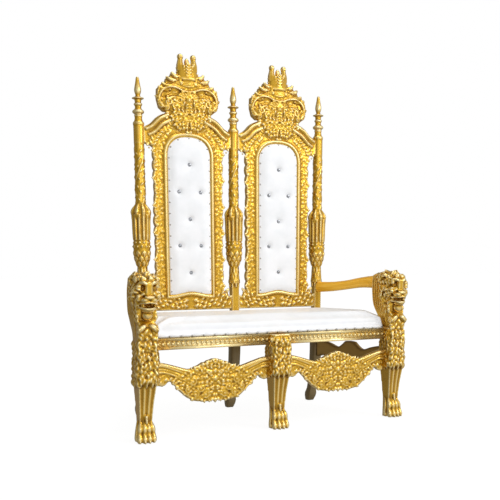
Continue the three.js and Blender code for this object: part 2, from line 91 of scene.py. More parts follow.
# %% Colours and nodes
def linear(hex_colour):
    channels = [int(hex_colour[i:i + 2], 16) / 255 for i in (1, 3, 5)]
    return [c / 12.92 if c <= 0.04045 else ((c + 0.055) / 1.055) ** 2.4 for c in channels] + [1.0]


def add_node(tree, kind, sockets=(), links=(), **settings):
    node = tree.nodes.new(kind)
    for key, value in settings.items():
        setattr(node, key, value)
    for key, value in dict(sockets).items():
        node.inputs[key].default_value = value
    for key, output in dict(links).items():
        tree.links.new(output, node.inputs[key])
    return node


print("a mid grey is", round(linear("#808080")[0], 3), "of full light")

# %% [markdown]
# Every finish starts alike: an empty material with one surface shader, and the place of a point on the
# throne, so that a pattern has its real size on every piece. A ramp turns a number into a colour.

# %% An empty finish
def new_finish(name):
    """An empty material with its surface shader, ready for a finish."""
    material = bpy.data.materials.new(name)
    material.use_nodes = True
    tree = material.node_tree
    tree.nodes.clear()
    shader = add_node(tree, "ShaderNodeBsdfPrincipled")
    add_node(tree, "ShaderNodeOutputMaterial", links={"Surface": shader.outputs[0]})
    where = add_node(tree, "ShaderNodeTexCoord").outputs["Object"]
    return material, tree, shader, where


def ramp(tree, value, stops):
    """A colour ramp from (position, hex colour) pairs."""
    node = add_node(tree, "ShaderNodeValToRGB", links={"Fac": value})
    elements = node.color_ramp.elements
    while len(elements) < len(stops):
        elements.new(0.5)
    for element, (position, colour) in zip(elements, stops):
        element.position = position
        element.color = linear(colour)
    return node.outputs["Color"]


def noise(tree, where, spacing, detail):
    """Cloudy noise whose patches are about `spacing` millimetres apart."""
    settings = {"Scale": 1 / (spacing * MM), "Detail": detail}
    return add_node(tree, "ShaderNodeTexNoise", settings, {"Vector": where}).outputs["Fac"]


def gloss_between(tree, shader, low, high, value):
    """Lets a number from 0 to 1 vary the roughness of a finish."""
    gloss = add_node(tree, "ShaderNodeMapRange", {"To Min": low, "To Max": high}, {"Value": value})
    tree.links.new(gloss.outputs[0], shader.inputs["Roughness"])


print("clouds 40 mm apart need a noise scale of", round(1 / (40 * MM)))

# %% [markdown]
# Gilding: metallic gold lacquer, brushed over a sealed carving. Its colour carries painted light: it is
# brighter and yellower on the ridges as a painted highlight, and browner in the hollows as painted shade.
# Each carved piece carries a "relief" number at every point, minus one in the hollows and plus one on the
# ridges, and the paint reads it to place that painted shade and highlight. Brush marks are about 7 mm apart
# and the spray's fine grain about 1.5 mm. Lacquer is metal powder in resin, so a finish is only partly
# metallic, and a thin clear coat gives it a second, sharper shine.

# %% Gold lacquer
CLEAR_COAT, CLEAR_COAT_ROUGHNESS = 0.3, 0.14
CLOUD_SHARE = 0.16  # how much the slow clouds add to the relief before it picks a colour


def gold_lacquer(name, stops, roughness, metallic):
    """A gold paint: colours from hollow to ridge, painted shade to painted highlight; roughness between two
    values; share of metal.
    """
    material, tree, shader, where = new_finish(name)
    relief = add_node(tree, "ShaderNodeAttribute", attribute_name="relief").outputs["Fac"]
    clouds = noise(tree, where, 40, 3.0)
    tone = add_node(tree, "ShaderNodeMath", {1: CLOUD_SHARE}, {0: clouds}, operation="MULTIPLY")
    spread = {"From Min": -1.0, "From Max": 1.0, "To Min": -CLOUD_SHARE / 2, "To Max": 1 - CLOUD_SHARE / 2}
    # Painted shade in the hollows and painted highlight on the ridges: the relief picks a darker or brighter
    # colour.
    depth = add_node(tree, "ShaderNodeMapRange", spread, {"Value": relief})
    shade_highlight_and_clouds = add_node(tree, "ShaderNodeMath", links={0: depth.outputs[0], 1: tone.outputs[0]}, operation="ADD")
    tree.links.new(ramp(tree, shade_highlight_and_clouds.outputs[0], stops), shader.inputs["Base Color"])
    brushed = noise(tree, where, 7, 4.0)
    gloss_between(tree, shader, *roughness, brushed)
    soft = add_node(tree, "ShaderNodeBump", {"Strength": 0.12, "Distance": 0.6 * MM}, {"Height": brushed})
    fine = add_node(tree, "ShaderNodeBump", {"Strength": 0.05, "Distance": 0.2 * MM},
                    {"Height": noise(tree, where, 1.5, 2.0), "Normal": soft.outputs[0]})
    tree.links.new(fine.outputs[0], shader.inputs["Normal"])
    shader.inputs["Metallic"].default_value = metallic
    shader.inputs["Coat Weight"].default_value = CLEAR_COAT
    shader.inputs["Coat Roughness"].default_value = CLEAR_COAT_ROUGHNESS
    return material


BRIGHT_GOLD = gold_lacquer("gold_lacquer_on_carving", [(0.06, "#7f5a10"), (0.3, "#b8881c"), (0.56, "#daab2e"),
                                                       (0.95, "#f2dca0")], (0.2, 0.34), 0.84)
# Painted shade: a darker, duller copy of the gold for the side aprons and back rail, in the shade under the
# seat.
SHADED_DULL_GOLD = gold_lacquer("dull_gold_lacquer_darkened_for_shade", [(0.1, "#86672c"), (0.4, "#a8843f"), (0.6, "#bb974c"),
                                               (0.9, "#d4b267")], (0.34, 0.5), 0.6)
# Painted light: a brighter, more orange copy of the gold for the arms, standing in for the light that falls
# on them.
LIT_ORANGE_GOLD = gold_lacquer("gold_lacquer_brightened_for_light_on_arms", [(0.1, "#d8941a"), (0.4, "#fab624"), (0.6, "#ffc230"),
                                                   (0.9, "#ffd65a")], (0.26, 0.38), 0.35)
# A dark brown copy of the gold for the back legs: partly a darker paint, partly painted shade behind the
# seat.
BRONZE_AND_SHADE = gold_lacquer("bronze_paint_and_painted_shade_on_legs", [(0.1, "#33281a"), (0.4, "#564629"), (0.6, "#655332"),
                                               (0.9, "#7d6a44")], (0.4, 0.55), 0.6)
print("paints:", [paint.name for paint in (BRIGHT_GOLD, SHADED_DULL_GOLD, LIT_ORANGE_GOLD, BRONZE_AND_SHADE)])

# %% [markdown]
# Carving is drawn as a carver draws it, in strokes. A stroke is a line over the face of the work with a
# width at each point: a leaf lobe, a tendril, a bead. Here a stroke is a small table of (across, up,
# height above the face, radius) in millimetres. A smooth curve is run through its rows.

# %% Strokes
THINNEST = 0.4  # no stroke gets thinner than this, in millimetres


def flowing(rows, steps=4):
    """A smooth line through the rows of a table, `steps` samples to each span."""
    rows = np.array(rows, float)
    ends = np.vstack([2 * rows[0] - rows[1], rows, 2 * rows[-1] - rows[-2]])
    line = []
    for i in range(1, len(ends) - 2):
        a, b, c, d = ends[i - 1:i + 3]
        for t in np.arange(steps) / steps:
            line.append(0.5 * (2 * b + (c - a) * t + (2 * a - 5 * b + 4 * c - d) * t ** 2
                               + (3 * b - a - 3 * c + d) * t ** 3))
    line.append(rows[-1])
    line = np.array(line)
    line[:, 3] = np.maximum(line[:, 3], THINNEST)
    return line


def smooth_curve(points, steps=4):
    """The same smooth line through plain points of an outline or a profile."""
    return [tuple(p[:2]) for p in flowing([(u, v, 0, 1) for u, v in points], steps)]


def bead(across, up, radius, height=0.0):
    """A round bead, as a very short stroke."""
    shares = np.array([-1, -0.92, -0.6, 0, 0.6, 0.92, 1])
    return np.array([(across, up + radius * s, height, max(radius * math.sqrt(1 - s * s), 0.3))
                     for s in shares])


def moved(strokes, across, up=0.0, height=0.0):
    return [s + np.array([across, up, height, 0.0]) for s in strokes]


def turned(strokes, degrees):
    angle = math.radians(degrees)
    turn = np.array([[math.cos(angle), math.sin(angle)], [-math.sin(angle), math.cos(angle)]])
    return [np.hstack([s[:, :2] @ turn, s[:, 2:]]) for s in strokes]


def flipped(strokes, across=-1, up=1, height=1):
    return [s * np.array([across, up, height, 1]) for s in strokes]


def both(strokes):
    return strokes + flipped(strokes)


print("a smooth line through 3 rows has", len(flowing([(0, 0, 0, 1), (5, 5, 0, 1), (10, 0, 0, 1)])), "points")

# %% [markdown]
# The carver's stock of motifs. An acanthus leaf is a bowed rib with pairs of lobes that lean towards its
# tip. A volute is a tendril that winds up, with a bead in its eye. A rosette is a ring of petals round a
# bead. Each is drawn from the origin along the "across" axis, then turned and moved into place.

# %% Motifs
def acanthus(length, width, lobes=4, bow=0.0, heavy=1.0, lift=0.0):
    """A leaf from the origin along +across; `bow` bends it upwards, `lift` raises its tip off the face."""
    def rib(share):
        return np.array([length * share, bow * length * math.sin(math.pi * share * 0.8), lift * share ** 2])
    girth = heavy * width / 9
    strokes = [flowing([(*rib(t), girth * r) for t, r in ((0, 1.0), (0.3, 1.15), (0.7, 0.9), (1, 0.35))])]
    for i in range(lobes):
        share = 0.06 + 0.74 * i / max(lobes - 1, 1)
        reach = width / 2 * (0.55 + 0.6 * math.sin(math.pi * (0.2 + 0.6 * share)))
        reach *= 1 - 0.45 * share
        root, ahead = rib(share), (rib(share + 0.05) - rib(share))[:2]
        ahead = ahead / np.linalg.norm(ahead)
        for side in (-1, 1):
            out = np.array([-ahead[1], ahead[0]]) * side
            middle = root[:2] + ahead * reach * 0.35 + out * reach * 0.55
            tip = root[:2] + ahead * reach * 0.95 + out * reach * 0.92
            strokes.append(flowing([(*root, girth * 0.7), (*middle, root[2] + girth * 0.5, girth * 1.05),
                                    (*tip, root[2] - girth * 0.1, girth * 0.6)], 3))
    return strokes


def leaf(place, angle, *shape):
    """An acanthus leaf of that shape at a place (across, up, height), turned to `angle` degrees."""
    return moved(turned(acanthus(*shape), angle), *place)


def volute(radius, turns, start, wind, girth):
    """A tendril that winds into the origin from `radius` away; `start` is where it begins, in degrees."""
    count = max(6, int(turns * 10))
    rows = []
    for i in range(count + 1):
        share = i / count
        angle = math.radians(start) + wind * 2 * math.pi * turns * share
        reach = radius * (1 - share) ** 0.75 + radius * 0.16
        rows.append((reach * math.cos(angle), reach * math.sin(angle), girth * 0.25 * share,
                     girth * (1 - 0.5 * share)))
    return [np.array(rows), bead(0, 0, girth * 0.95, girth * 0.4)]


def curl(place, *shape):
    """A volute of that shape at a place (across, up, height)."""
    return moved(volute(*shape), *place)


def rosette(radius, petals=6):
    petal = [flowing([(radius * 0.25, 0, 0, radius * 0.16), (radius * 0.65, 0, radius * 0.1, radius * 0.27),
                      (radius, 0, -radius * 0.05, radius * 0.14)], 3)]
    strokes = [bead(0, 0, radius * 0.36, radius * 0.28)]
    for i in range(petals):
        strokes += turned(petal, 360 * i / petals)
    return strokes


def shell(width, height, ribs, spread=70):
    """A fan of ribs, like half a scallop shell, that opens upwards from the origin."""
    strokes = []
    for i in range(ribs):
        angle = math.radians(90 + spread * (2 * i / (ribs - 1) - 1))
        tip = (math.cos(angle) * width / 2, math.sin(angle) * height)
        strokes.append(flowing([(tip[0] * 0.15, tip[1] * 0.15, 0, width / ribs * 0.22),
                                (tip[0] * 0.65, tip[1] * 0.65, 2, width / ribs * 0.42),
                                (*tip, -1, width / ribs * 0.36)], 3))
    return strokes + [bead(0, 0, width * 0.1, 3)]


print("an acanthus leaf of", len(acanthus(100, 40)), "strokes")

# %% [markdown]
# Between the big motifs a carver leaves no plain ground. Small hooks, sprigs and curls fill it, or locks of
# hair where the work is a lion's coat. They are drawn once at size 1 and placed at random from a fixed
# seed, each a little way from the last, so that the ground looks cut by hand and is the same at every run.

# %% Small fill
HOOK = [(-0.7, -0.9, 0, 0.3), (-0.8, 0.2, 0.15, 0.45), (0, 0.9, 0.25, 0.5), (0.75, 0.3, 0.2, 0.4),
        (0.4, -0.4, 0.1, 0.25)]
FAT_STRAND = [(0, 0, 0, 0.3), (0.7, 0.15, 0.35, 0.42), (1.4, -0.1, 0.2, 0.32), (1.9, 0.2, 0, 0.16)]
THIN_STRAND = [(0.1, 0.5, 0, 0.2), (0.8, 0.7, 0.2, 0.28), (1.5, 0.4, 0, 0.16)]
TRIES = 9  # darts thrown at each place that could hold a motif


def grown(rows, size):
    return flowing(np.array(rows) * size, 3)


def sprig(size):
    """Three lobes from one root."""
    strokes = []
    for lean, share in ((-38, 0.8), (0, 1.1), (38, 0.8)):
        lobe = [(0, 0, 0, 0.3), (0.6 * share, 0, 0.3, 0.42), (1.3 * share, 0, 0, 0.22)]
        strokes += turned([grown(lobe, size)], lean)
    return strokes


def lock(size):
    """A lock of hair: one fat wavy strand and a short one beside it."""
    return [grown(FAT_STRAND, size), grown(THIN_STRAND, size)]


def small_motif(rng, size, heading, hair):
    """One piece of fill, picked at random. A lock's two strands may each bend either way."""
    kind = rng.random()
    if hair:
        strands = lock(size * rng.uniform(0.75, 1.05))
        return turned([strand * np.array([1, rng.choice((-1, 1)), 1, 1]) for strand in strands], heading)
    if kind < 0.45:
        return turned(sprig(size * 0.78), heading)
    if kind < 0.75:
        return turned([grown(HOOK, size * 0.6)], heading)
    if kind < 0.92:
        return turned(volute(size * 0.55, 1.1, 0, rng.choice((-1, 1)), size * 0.26), heading)
    return [bead(0, 0, size * 0.42, 0)]


def tangle(inside, box, size, seed, flow, height=0.0, jitter=40, hair=False):
    """Fills the places where inside(x, z) is true with small motifs, about `size` apart. They point along
    flow(x, z), in degrees, give or take `jitter`, and lie at `height` on the face."""
    rng = random.Random(seed)
    (x0, x1), (z0, z1) = box
    strokes, places = [], []
    for _ in range(int((x1 - x0) * (z1 - z0) / size ** 2 * TRIES)):
        x, z = rng.uniform(x0, x1), rng.uniform(z0, z1)
        if not inside(x, z) or any((x - a) ** 2 + (z - b) ** 2 < size ** 2 for a, b in places):
            continue
        places.append((x, z))
        heading = flow(x, z) + rng.uniform(-jitter, jitter)
        motif = small_motif(rng, size, heading, hair)
        strokes += moved(motif, x, z, height + rng.uniform(-0.06, 0.06) * size)
    return strokes


def everywhere(x, z):
    return True


def downwards(x, z):
    return -90


trial = tangle(everywhere, ((0, 100), (0, 100)), 14, 1, downwards)
print("a square of 100 mm takes", len(trial), "small strokes")

# %% [markdown]
# Strokes are drawn flat and then laid on a face of the work, which may swell: a dome, or a block whose
# edges are rounded off. A swell is a function that says how far the surface stands off the flat face.

# %% Laying strokes on a face
def swelling(stroke, swell):
    """How far the surface stands off the face under each point of a stroke."""
    return np.array([swell(u, v) for u, v in stroke[:, :2]]) if swell else 0


def front_of(strokes, face_y, swell=None):
    """Strokes on a face that looks forwards, as points (x, y, z) and a radius."""
    return [np.column_stack([s[:, 0], face_y - s[:, 2] - swelling(s, swell), s[:, 1], s[:, 3]])
            for s in strokes]


def side_of(strokes, face_x, side, swell=None):
    """Strokes on a face that looks to +x (side 1) or -x (side -1); "across" then runs backwards in y."""
    return [np.column_stack([face_x + side * (s[:, 2] + swelling(s, swell)), s[:, 0], s[:, 1], s[:, 3]])
            for s in strokes]


def top_of(strokes, face_z, swell):
    """Strokes on a face that looks upwards; "up" then runs backwards in y."""
    return [np.column_stack([s[:, :2], face_z + s[:, 2] + swelling(s, swell), s[:, 3]]) for s in strokes]


def rounded_off(low, high, radius):
    """The swell of a face whose edges are rounded: nothing in the middle, and falling away near them."""
    def swell(u, v):
        past_u = max(low[0] + radius - u, u - high[0] + radius, 0)
        past_v = max(low[1] + radius - v, v - high[1] + radius, 0)
        beyond = min(math.hypot(past_u, past_v), radius)
        return math.sqrt(max(radius ** 2 - beyond ** 2, 0)) - radius
    return swell


def domed(centre, radii, depth):
    """The swell of a domed face: `depth` at its centre and nothing at its rim."""
    def swell(u, v):
        inside = 1 - ((u - centre[0]) / radii[0]) ** 2 - ((v - centre[1]) / radii[1]) ** 2
        return depth * math.sqrt(max(inside, 0))
    return swell


print("the middle of a dome 20 mm high swells by", domed((0, 0), (50, 50), 20)(0, 0), "mm")

# %% [markdown]
# A curve object gives every stroke its round section. The same object makes fretsawn boards: a flat curve
# that is filled between its outlines and made as thick as the plank.

# %% Tubes and boards
STAND = Matrix.Rotation(math.pi / 2, 4, "X")  # tips what lies flat so that it stands and looks forwards
SEAM = 0.01                                   # points nearer than this, in millimetres, are one


def tubes(lines, roundness):
    """A bmesh of round tubes along lines of (x, y, z, radius), in millimetres."""
    curve = bpy.data.curves.new("strokes", "CURVE")
    curve.dimensions = "3D"
    curve.bevel_depth = 1.0
    curve.bevel_resolution = roundness
    curve.use_fill_caps = True
    for line in lines:
        spline = curve.splines.new("POLY")
        spline.points.add(len(line) - 1)
        spline.points.foreach_set("co", np.column_stack([line[:, :3], np.ones(len(line))]).ravel())
        spline.points.foreach_set("radius", line[:, 3])
    return from_curve(curve)


def from_curve(curve):
    """The surface of a curve, as a bmesh; the curve is thrown away."""
    holder = bpy.data.objects.new("holder", curve)
    bpy.context.scene.collection.objects.link(holder)
    mesh = bpy.data.meshes.new_from_object(holder.evaluated_get(bpy.context.evaluated_depsgraph_get()))
    shape = bmesh.new()
    shape.from_mesh(mesh)
    bpy.data.objects.remove(holder)
    bpy.data.meshes.remove(mesh)
    bpy.data.curves.remove(curve)
    return shape


def board(outlines, y, edge=0.0):
    """A fretsawn board: closed outlines in x and z, the holes among them, thick from y[0] to y[1]."""
    curve = bpy.data.curves.new("outline", "CURVE")
    curve.dimensions = "2D"
    curve.fill_mode = "BOTH"
    curve.extrude = (y[1] - y[0]) / 2 - edge
    curve.bevel_depth = edge
    curve.bevel_resolution = 2
    for outline in outlines:
        spline = curve.splines.new("POLY")
        spline.points.add(len(outline) - 1)
        for point, (x, z) in zip(spline.points, outline):
            point.co = (x, z, 0, 1)
        spline.use_cyclic_u = True
    shape = from_curve(curve)
    middle = Matrix.Translation((0, (y[0] + y[1]) / 2, 0))
    bmesh.ops.transform(shape, matrix=middle @ STAND, verts=shape.verts)
    bmesh.ops.remove_doubles(shape, verts=shape.verts, dist=SEAM)
    return shape


def plan_board(plan, z):
    """A board lying flat: a closed plan in x and y, thick from z[0] to z[1]."""
    shape = board([plan], (0, z[1] - z[0]))
    lay = Matrix.Translation((0, 0, z[0])) @ STAND @ Matrix.Diagonal((1, 1, -1, 1))
    bmesh.ops.transform(shape, matrix=lay, verts=shape.verts)
    return shape


def both_halves(right):
    """A closed outline from its right half; a point on the middle line isn't repeated."""
    return right + [(-u, v) for u, v in reversed(right) if u]


print("a square board has", len(board([[(0, 0), (9, 0), (9, 9), (0, 9)]], (0, 2)).faces), "faces")

# %% [markdown]
# The other rough shapes are what a workshop starts from: turned blocks from the lathe, lumps of clay and
# square blocks with eased edges. A saw cuts them, and a cap closes what it leaves open.

# %% Lathe, lumps and blocks
def eased(shape, edges, offset, segments=2):
    """Rounds edges off."""
    bmesh.ops.bevel(shape, geom=edges, offset=offset, affect="EDGES", segments=segments, profile=0.5,
                    material=-1)


def turned_block(profile, centre=(0, 0, 0), steps=24):
    """What a lathe makes: a profile of (radius, z) spun about an upright axis through `centre`."""
    shape = bmesh.new()
    points = [shape.verts.new((r, 0, z)) for r, z in profile]
    edges = [shape.edges.new(pair) for pair in zip(points, points[1:])]
    bmesh.ops.spin(shape, geom=points + edges, axis=(0, 0, 1), cent=(0, 0, 0), dvec=(0, 0, 0),
                   angle=2 * math.pi, steps=steps, use_merge=True, use_normal_flip=False, use_duplicate=False)
    bmesh.ops.remove_doubles(shape, verts=shape.verts, dist=SEAM)
    bmesh.ops.translate(shape, vec=centre, verts=shape.verts)
    bmesh.ops.recalc_face_normals(shape, faces=shape.faces)
    return shape


def egg(centre, radii, tilt=0.0):
    """A lump of that centre and those half sizes, tipped about the x axis by `tilt` degrees."""
    shape = bmesh.new()
    tilted = Matrix.Rotation(math.radians(tilt), 4, "X")
    place = Matrix.Translation(centre) @ tilted @ Matrix.Diagonal((*radii, 1))
    bmesh.ops.create_uvsphere(shape, u_segments=20, v_segments=12, radius=1.0, matrix=place)
    return shape


def block(low, high, edge):
    """A block between two corners, with every edge rounded off."""
    shape = bmesh.new()
    low, high = Vector(low), Vector(high)
    place = Matrix.Translation((low + high) / 2) @ Matrix.Diagonal((*(high - low), 1))
    bmesh.ops.create_cube(shape, size=1.0, matrix=place)
    eased(shape, shape.edges[:], edge)
    return shape


def sawn(shape, place, towards, discard=False):
    """Cuts along a plane; what lies on the side that it looks towards may be discarded."""
    everything = shape.verts[:] + shape.edges[:] + shape.faces[:]
    bmesh.ops.bisect_plane(shape, geom=everything, plane_co=place, plane_no=towards, clear_outer=discard)
    return shape


def sliced(shape, heights):
    """Cuts a shape into levels, so that it can be drawn in at each."""
    for z in heights:
        sawn(shape, (0, 0, z), (0, 0, 1))
    return shape


def capped(shape):
    bmesh.ops.holes_fill(shape, edges=[e for e in shape.edges if e.is_boundary])
    return shape


print("a block has", len(block((0, 0, 0), (9, 9, 9), 1).faces), "faces")

# %% [markdown]
# Everything that is cut from one plank becomes one skin. The rough shapes and the strokes on them are
# joined, and a voxel remesh melts them together. A little smoothing takes off the voxels' steps, as
# sandpaper would.

# %% One skin
VOXEL, FINE_VOXEL, COARSE_VOXEL = 3.0, 2.5, 3.4


def together(*shapes):
    """Joins several bmeshes into the first."""
    whole = shapes[0]
    for other in shapes[1:]:
        mesh = bpy.data.meshes.new("part")
        other.to_mesh(mesh)
        whole.from_mesh(mesh)
        other.free()
        bpy.data.meshes.remove(mesh)
    return whole


def reshaped(shape, move):
    """Moves every point of a shape to where a function says."""
    for vert in shape.verts:
        vert.co = move(vert.co)
    return shape


def sanded(shape, rounds):
    for _ in range(rounds):
        bmesh.ops.smooth_vert(shape, verts=shape.verts, factor=0.5,
                              use_axis_x=True, use_axis_y=True, use_axis_z=True)
    return shape


def melted(shape, voxel, sanding=2):
    """One skin over everything in `shape`, in voxels of that many millimetres."""
    mesh = bpy.data.meshes.new("rough")
    shape.to_mesh(mesh)
    mesh.transform(Matrix.Diagonal((MM, MM, MM, 1)))
    shape.free()
    holder = bpy.data.objects.new("rough", mesh)
    bpy.context.scene.collection.objects.link(holder)
    remesh = holder.modifiers.new("skin", "REMESH")
    remesh.mode = "VOXEL"
    remesh.voxel_size = voxel * MM
    result = bpy.data.meshes.new_from_object(holder.evaluated_get(bpy.context.evaluated_depsgraph_get()))
    result.transform(Matrix.Diagonal((1 / MM, 1 / MM, 1 / MM, 1)))
    skin = bmesh.new()
    skin.from_mesh(result)
    bpy.data.objects.remove(holder)
    bpy.data.meshes.remove(mesh)
    bpy.data.meshes.remove(result)
    return sanded(skin, sanding)


print("voxels for most of the carving:", VOXEL, "mm; for crests and posts:", FINE_VOXEL, "mm")

# %% [markdown]
# The relief number compares each point with the average of the surface round it. Where the surface stands
# out from that average it is a ridge, and where it lies below it is a hollow. Eight rounds of averaging
# look about three voxels far, which is as far as one carved groove.

# %% Ridges and hollows
RELIEF_ROUNDS = 8
RELIEF_FULL = 1.7  # this many millimetres above the average counts as a full ridge


def measure_relief(mesh):
    """Writes the relief number of every point, read by the gold as painted shade and highlight."""
    count = len(mesh.vertices)
    points = np.zeros(count * 3)
    mesh.vertices.foreach_get("co", points)
    points = points.reshape(-1, 3)
    normals = np.zeros(count * 3)
    mesh.vertices.foreach_get("normal", normals)
    edges = np.zeros(len(mesh.edges) * 2, dtype=np.int64)
    mesh.edges.foreach_get("vertices", edges)
    a, b = edges[0::2], edges[1::2]
    neighbours = np.maximum(np.bincount(a, minlength=count) + np.bincount(b, minlength=count), 1)
    average = points.copy()
    for _ in range(RELIEF_ROUNDS):
        total = np.column_stack([np.bincount(a, average[b, k], count) + np.bincount(b, average[a, k], count)
                                 for k in range(3)])
        average = total / neighbours[:, None]
    height = ((points - average) * normals.reshape(-1, 3)).sum(1) / (RELIEF_FULL * MM)
    attribute = mesh.attributes.new("relief", "FLOAT", "POINT")
    attribute.data.foreach_set("value", np.clip(height, -1, 1).astype(np.float32))


print("relief is full at", RELIEF_FULL, "mm")

# %% [markdown]
# A finished piece is scaled to metres, shifted from the drawing to the floor's middle and painted. It then
# rides on the root body, and the plain solids it stands for are hidden.

# %% Putting a piece in the scene
def show(name, shape, finish, nodes, relief=True, smooth=True):
    """Puts a finished bmesh, drawn in millimetres, in the scene, in place of the CAD nodes it stands for."""
    mesh = bpy.data.meshes.new(name)
    shape.to_mesh(mesh)
    shape.free()
    mesh.transform(Matrix.Translation((0, SHIFT * MM, 0)) @ Matrix.Diagonal((MM, MM, MM, 1)))
    for polygon in mesh.polygons:
        polygon.use_smooth = smooth
    if relief:
        measure_relief(mesh)
    mesh.materials.append(finish)
    piece = bpy.data.objects.new(name, mesh)
    bpy.context.scene.collection.objects.link(piece)
    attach(piece, "root")
    if nodes:
        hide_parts(*nodes)
    print(f"{name}: {len(mesh.polygons)} faces, {[round(v, 3) for v in piece.dimensions]} m")
    return piece


def mirrored(shape):
    """The same shape for the other side of the throne."""
    other = shape.copy()
    bmesh.ops.scale(other, vec=(-1, 1, 1), verts=other.verts)
    bmesh.ops.reverse_faces(other, faces=other.faces)
    return other


def show_pair(name, shape, finish, node):
    """Shows a piece drawn for the right side and its mirror image on the left."""
    other = mirrored(shape)
    show(f"{name}_right", shape, finish, [f"{node}_right"])
    show(f"{name}_left", other, finish, [f"{node}_left"])


# %% [markdown]
# The frame of one back is a fretsawn board with an arched opening. A round moulding runs along the opening,
# two ridges sweep over each shoulder to the crest, and a running vine fills the wavy sides. It is drawn
# upright about its own middle line and only leans and spreads once it is whole.

# %% Outlines of a back
FRAME_HALF = 222.4        # a frame reaches the posts on both sides
FRAME_FACE, FRAME_REAR = 484, 516
CREST_SEAT = 1525         # flat top of a frame, where its crest stands
OPENING_HALF, OPENING_FOOT, OPENING_SPRING, OPENING_TOP = 109, 606, 1310, 1404
FOOT_BOW = 16             # the opening's foot stands this much higher in the middle
EDGE_LOBES = 13           # lobes along each wavy side


def opening(margin):
    """The arched opening grown by `margin`, as a closed outline; its foot bows up in the middle."""
    half = OPENING_HALF + margin
    rise = OPENING_TOP + margin - OPENING_SPRING
    foot = OPENING_FOOT - margin
    right = [(half * s, foot + FOOT_BOW * (math.cos(math.pi * min(s / 0.85, 1)) + 1) / 2)
             for s in np.linspace(0, 1, 9)]
    right += [(half, z) for z in np.linspace(foot, OPENING_SPRING, 16)[1:-1]]
    right += [(half * math.cos(a) ** 0.8, OPENING_SPRING + rise * math.sin(a))
              for a in np.linspace(0, math.pi / 2, 14)[:-1]]
    return both_halves(right + [(0, OPENING_TOP + margin)])


def frame_outline():
    """The board's edge: a straight foot, wavy sides, and shoulders that sweep up to the crest."""
    right = [(0, 529), (FRAME_HALF, 529), (FRAME_HALF, 584), (196, 590)]
    for share in np.arange(EDGE_LOBES * 6 + 1) / (EDGE_LOBES * 6):
        lobe = abs(math.sin(math.pi * EDGE_LOBES * share)) ** 0.6
        right.append((171 + (6 + 3 * math.sin(5 * share * math.pi)) * lobe, 612 + 728 * share))
    right += [(186, 1354), (FRAME_HALF, 1366), (FRAME_HALF, 1440)]
    right += smooth_curve([(216, 1443), (185, 1462), (148, 1500), (96, CREST_SEAT - 2)])
    return both_halves(right + [(0, CREST_SEAT)])


print("opening outline:", len(opening(0)), "points; frame outline:", len(frame_outline()), "points")

# %% [markdown]
# The vine on a side rises in a slow wave. For every half wave it throws a leaf to the edge, another to the
# inside and a small curl, by turns to the left and the right, so no two neighbours are alike. The foot is
# carved with long locks that run outwards from the middle.

# %% Carving on a back
def vine(low, high, middle, swing, waves, girth):
    """A running vine up a strip: a wavy stem with two leaves and a curl for each half wave."""
    stem = [(middle + swing * math.sin(math.pi * i / 2), low + (high - low) * i / (waves * 2), 0, girth)
            for i in range(waves * 2 + 1)]
    strokes = [flowing(stem, 5)]
    pitch = (high - low) / waves
    for i in range(waves):
        up = low + pitch * (i + 0.5)
        side = 1 if i % 2 else -1
        strokes += leaf((middle + 3, up - pitch * 0.42), 58 + 8 * side,
                        pitch * 0.78, pitch * 0.5, 3, 0.2, 1.1, 2)
        inner = flipped(acanthus(pitch * 0.62, pitch * 0.42, 3, 0.2, 1.0, 2), 1, -1)
        strokes += moved(turned(inner, 118 + 8 * side), middle - 2, up - pitch * 0.2)
        strokes += curl((middle + side * swing, up + pitch * 0.3, 1),
                        pitch * 0.15, 1.1, 200, side, girth * 0.8)
    return strokes


STRIP_MIDDLE = 157  # the wavy sides' middle line, across from the middle of a back
SHOULDER = [(216, 1430, 0, 8), (184, 1448, 3, 10), (146, 1486, 4, 10), (100, 1512, 3, 9)]


def on_strip(x, z):
    return 137 < x < 170 and 606 < z < 1350


def in_spandrel(x, z):
    """The corner between the arch and the inner ridge of the shoulder."""
    above_arch = math.hypot(x / 138, (z - OPENING_SPRING) / 122) > 1.03
    return above_arch and z < np.interp(x, (90, 146, 184, 214), (1478, 1448, 1406, 1388))


def on_foot(x, z):
    return 538 < z < (608 if x > 140 else 580)


def shoulder_ridges():
    """Two fat ridges over the shoulder and a thin one in the groove between them."""
    return [flowing(SHOULDER), flowing([(x * 0.985 - 10, z - 27, h, r) for x, z, h, r in SHOULDER]),
            flowing([(x - 4, z - 13, h - 3, r * 0.55) for x, z, h, r in SHOULDER])]


def frame_carving():
    face = moved(vine(604, 1352, STRIP_MIDDLE - 1, 8, 11, 5.0), 0, 0, -3.0)
    face += tangle(on_strip, ((137, 178), (606, 1350)), 13, 11,
                   lambda x, z: 60 if x > STRIP_MIDDLE else 120, -3.6)
    face += shoulder_ridges() + leaf((188, 1352, -1), 128, 104, 44, 5, -0.12, 1.0, 2)
    face += leaf((130, 1436, -1), 150, 74, 34, 4, 0.1)
    face += tangle(in_spandrel, ((30, 214), (1335, 1480)), 14, 5, lambda x, z: 130, -3)
    face += tangle(on_foot, ((8, 212), (530, 612)), 17, 23,
                   lambda x, z: 5 + x / 4, -3.5, jitter=16, hair=True)
    return both(face)


def frame_mouldings(face_y):
    """The round moulding of the opening, with a fine fillet inside it."""
    lines = []
    for margin, height, radius in ((12.5, -1, 11), (2.5, -1, 3.5), (24, -1, 3)):
        outline = [(x, z, height, radius) for x, z in opening(margin)]
        lines += front_of([np.array(outline + outline[:2])], face_y)
    return lines


def back_frame():
    rough = board([frame_outline(), opening(0)], (FRAME_FACE, FRAME_REAR), 3)
    carving = front_of(frame_carving(), FRAME_FACE) + frame_mouldings(FRAME_FACE)
    return melted(together(rough, tubes(carving, 1)), VOXEL)


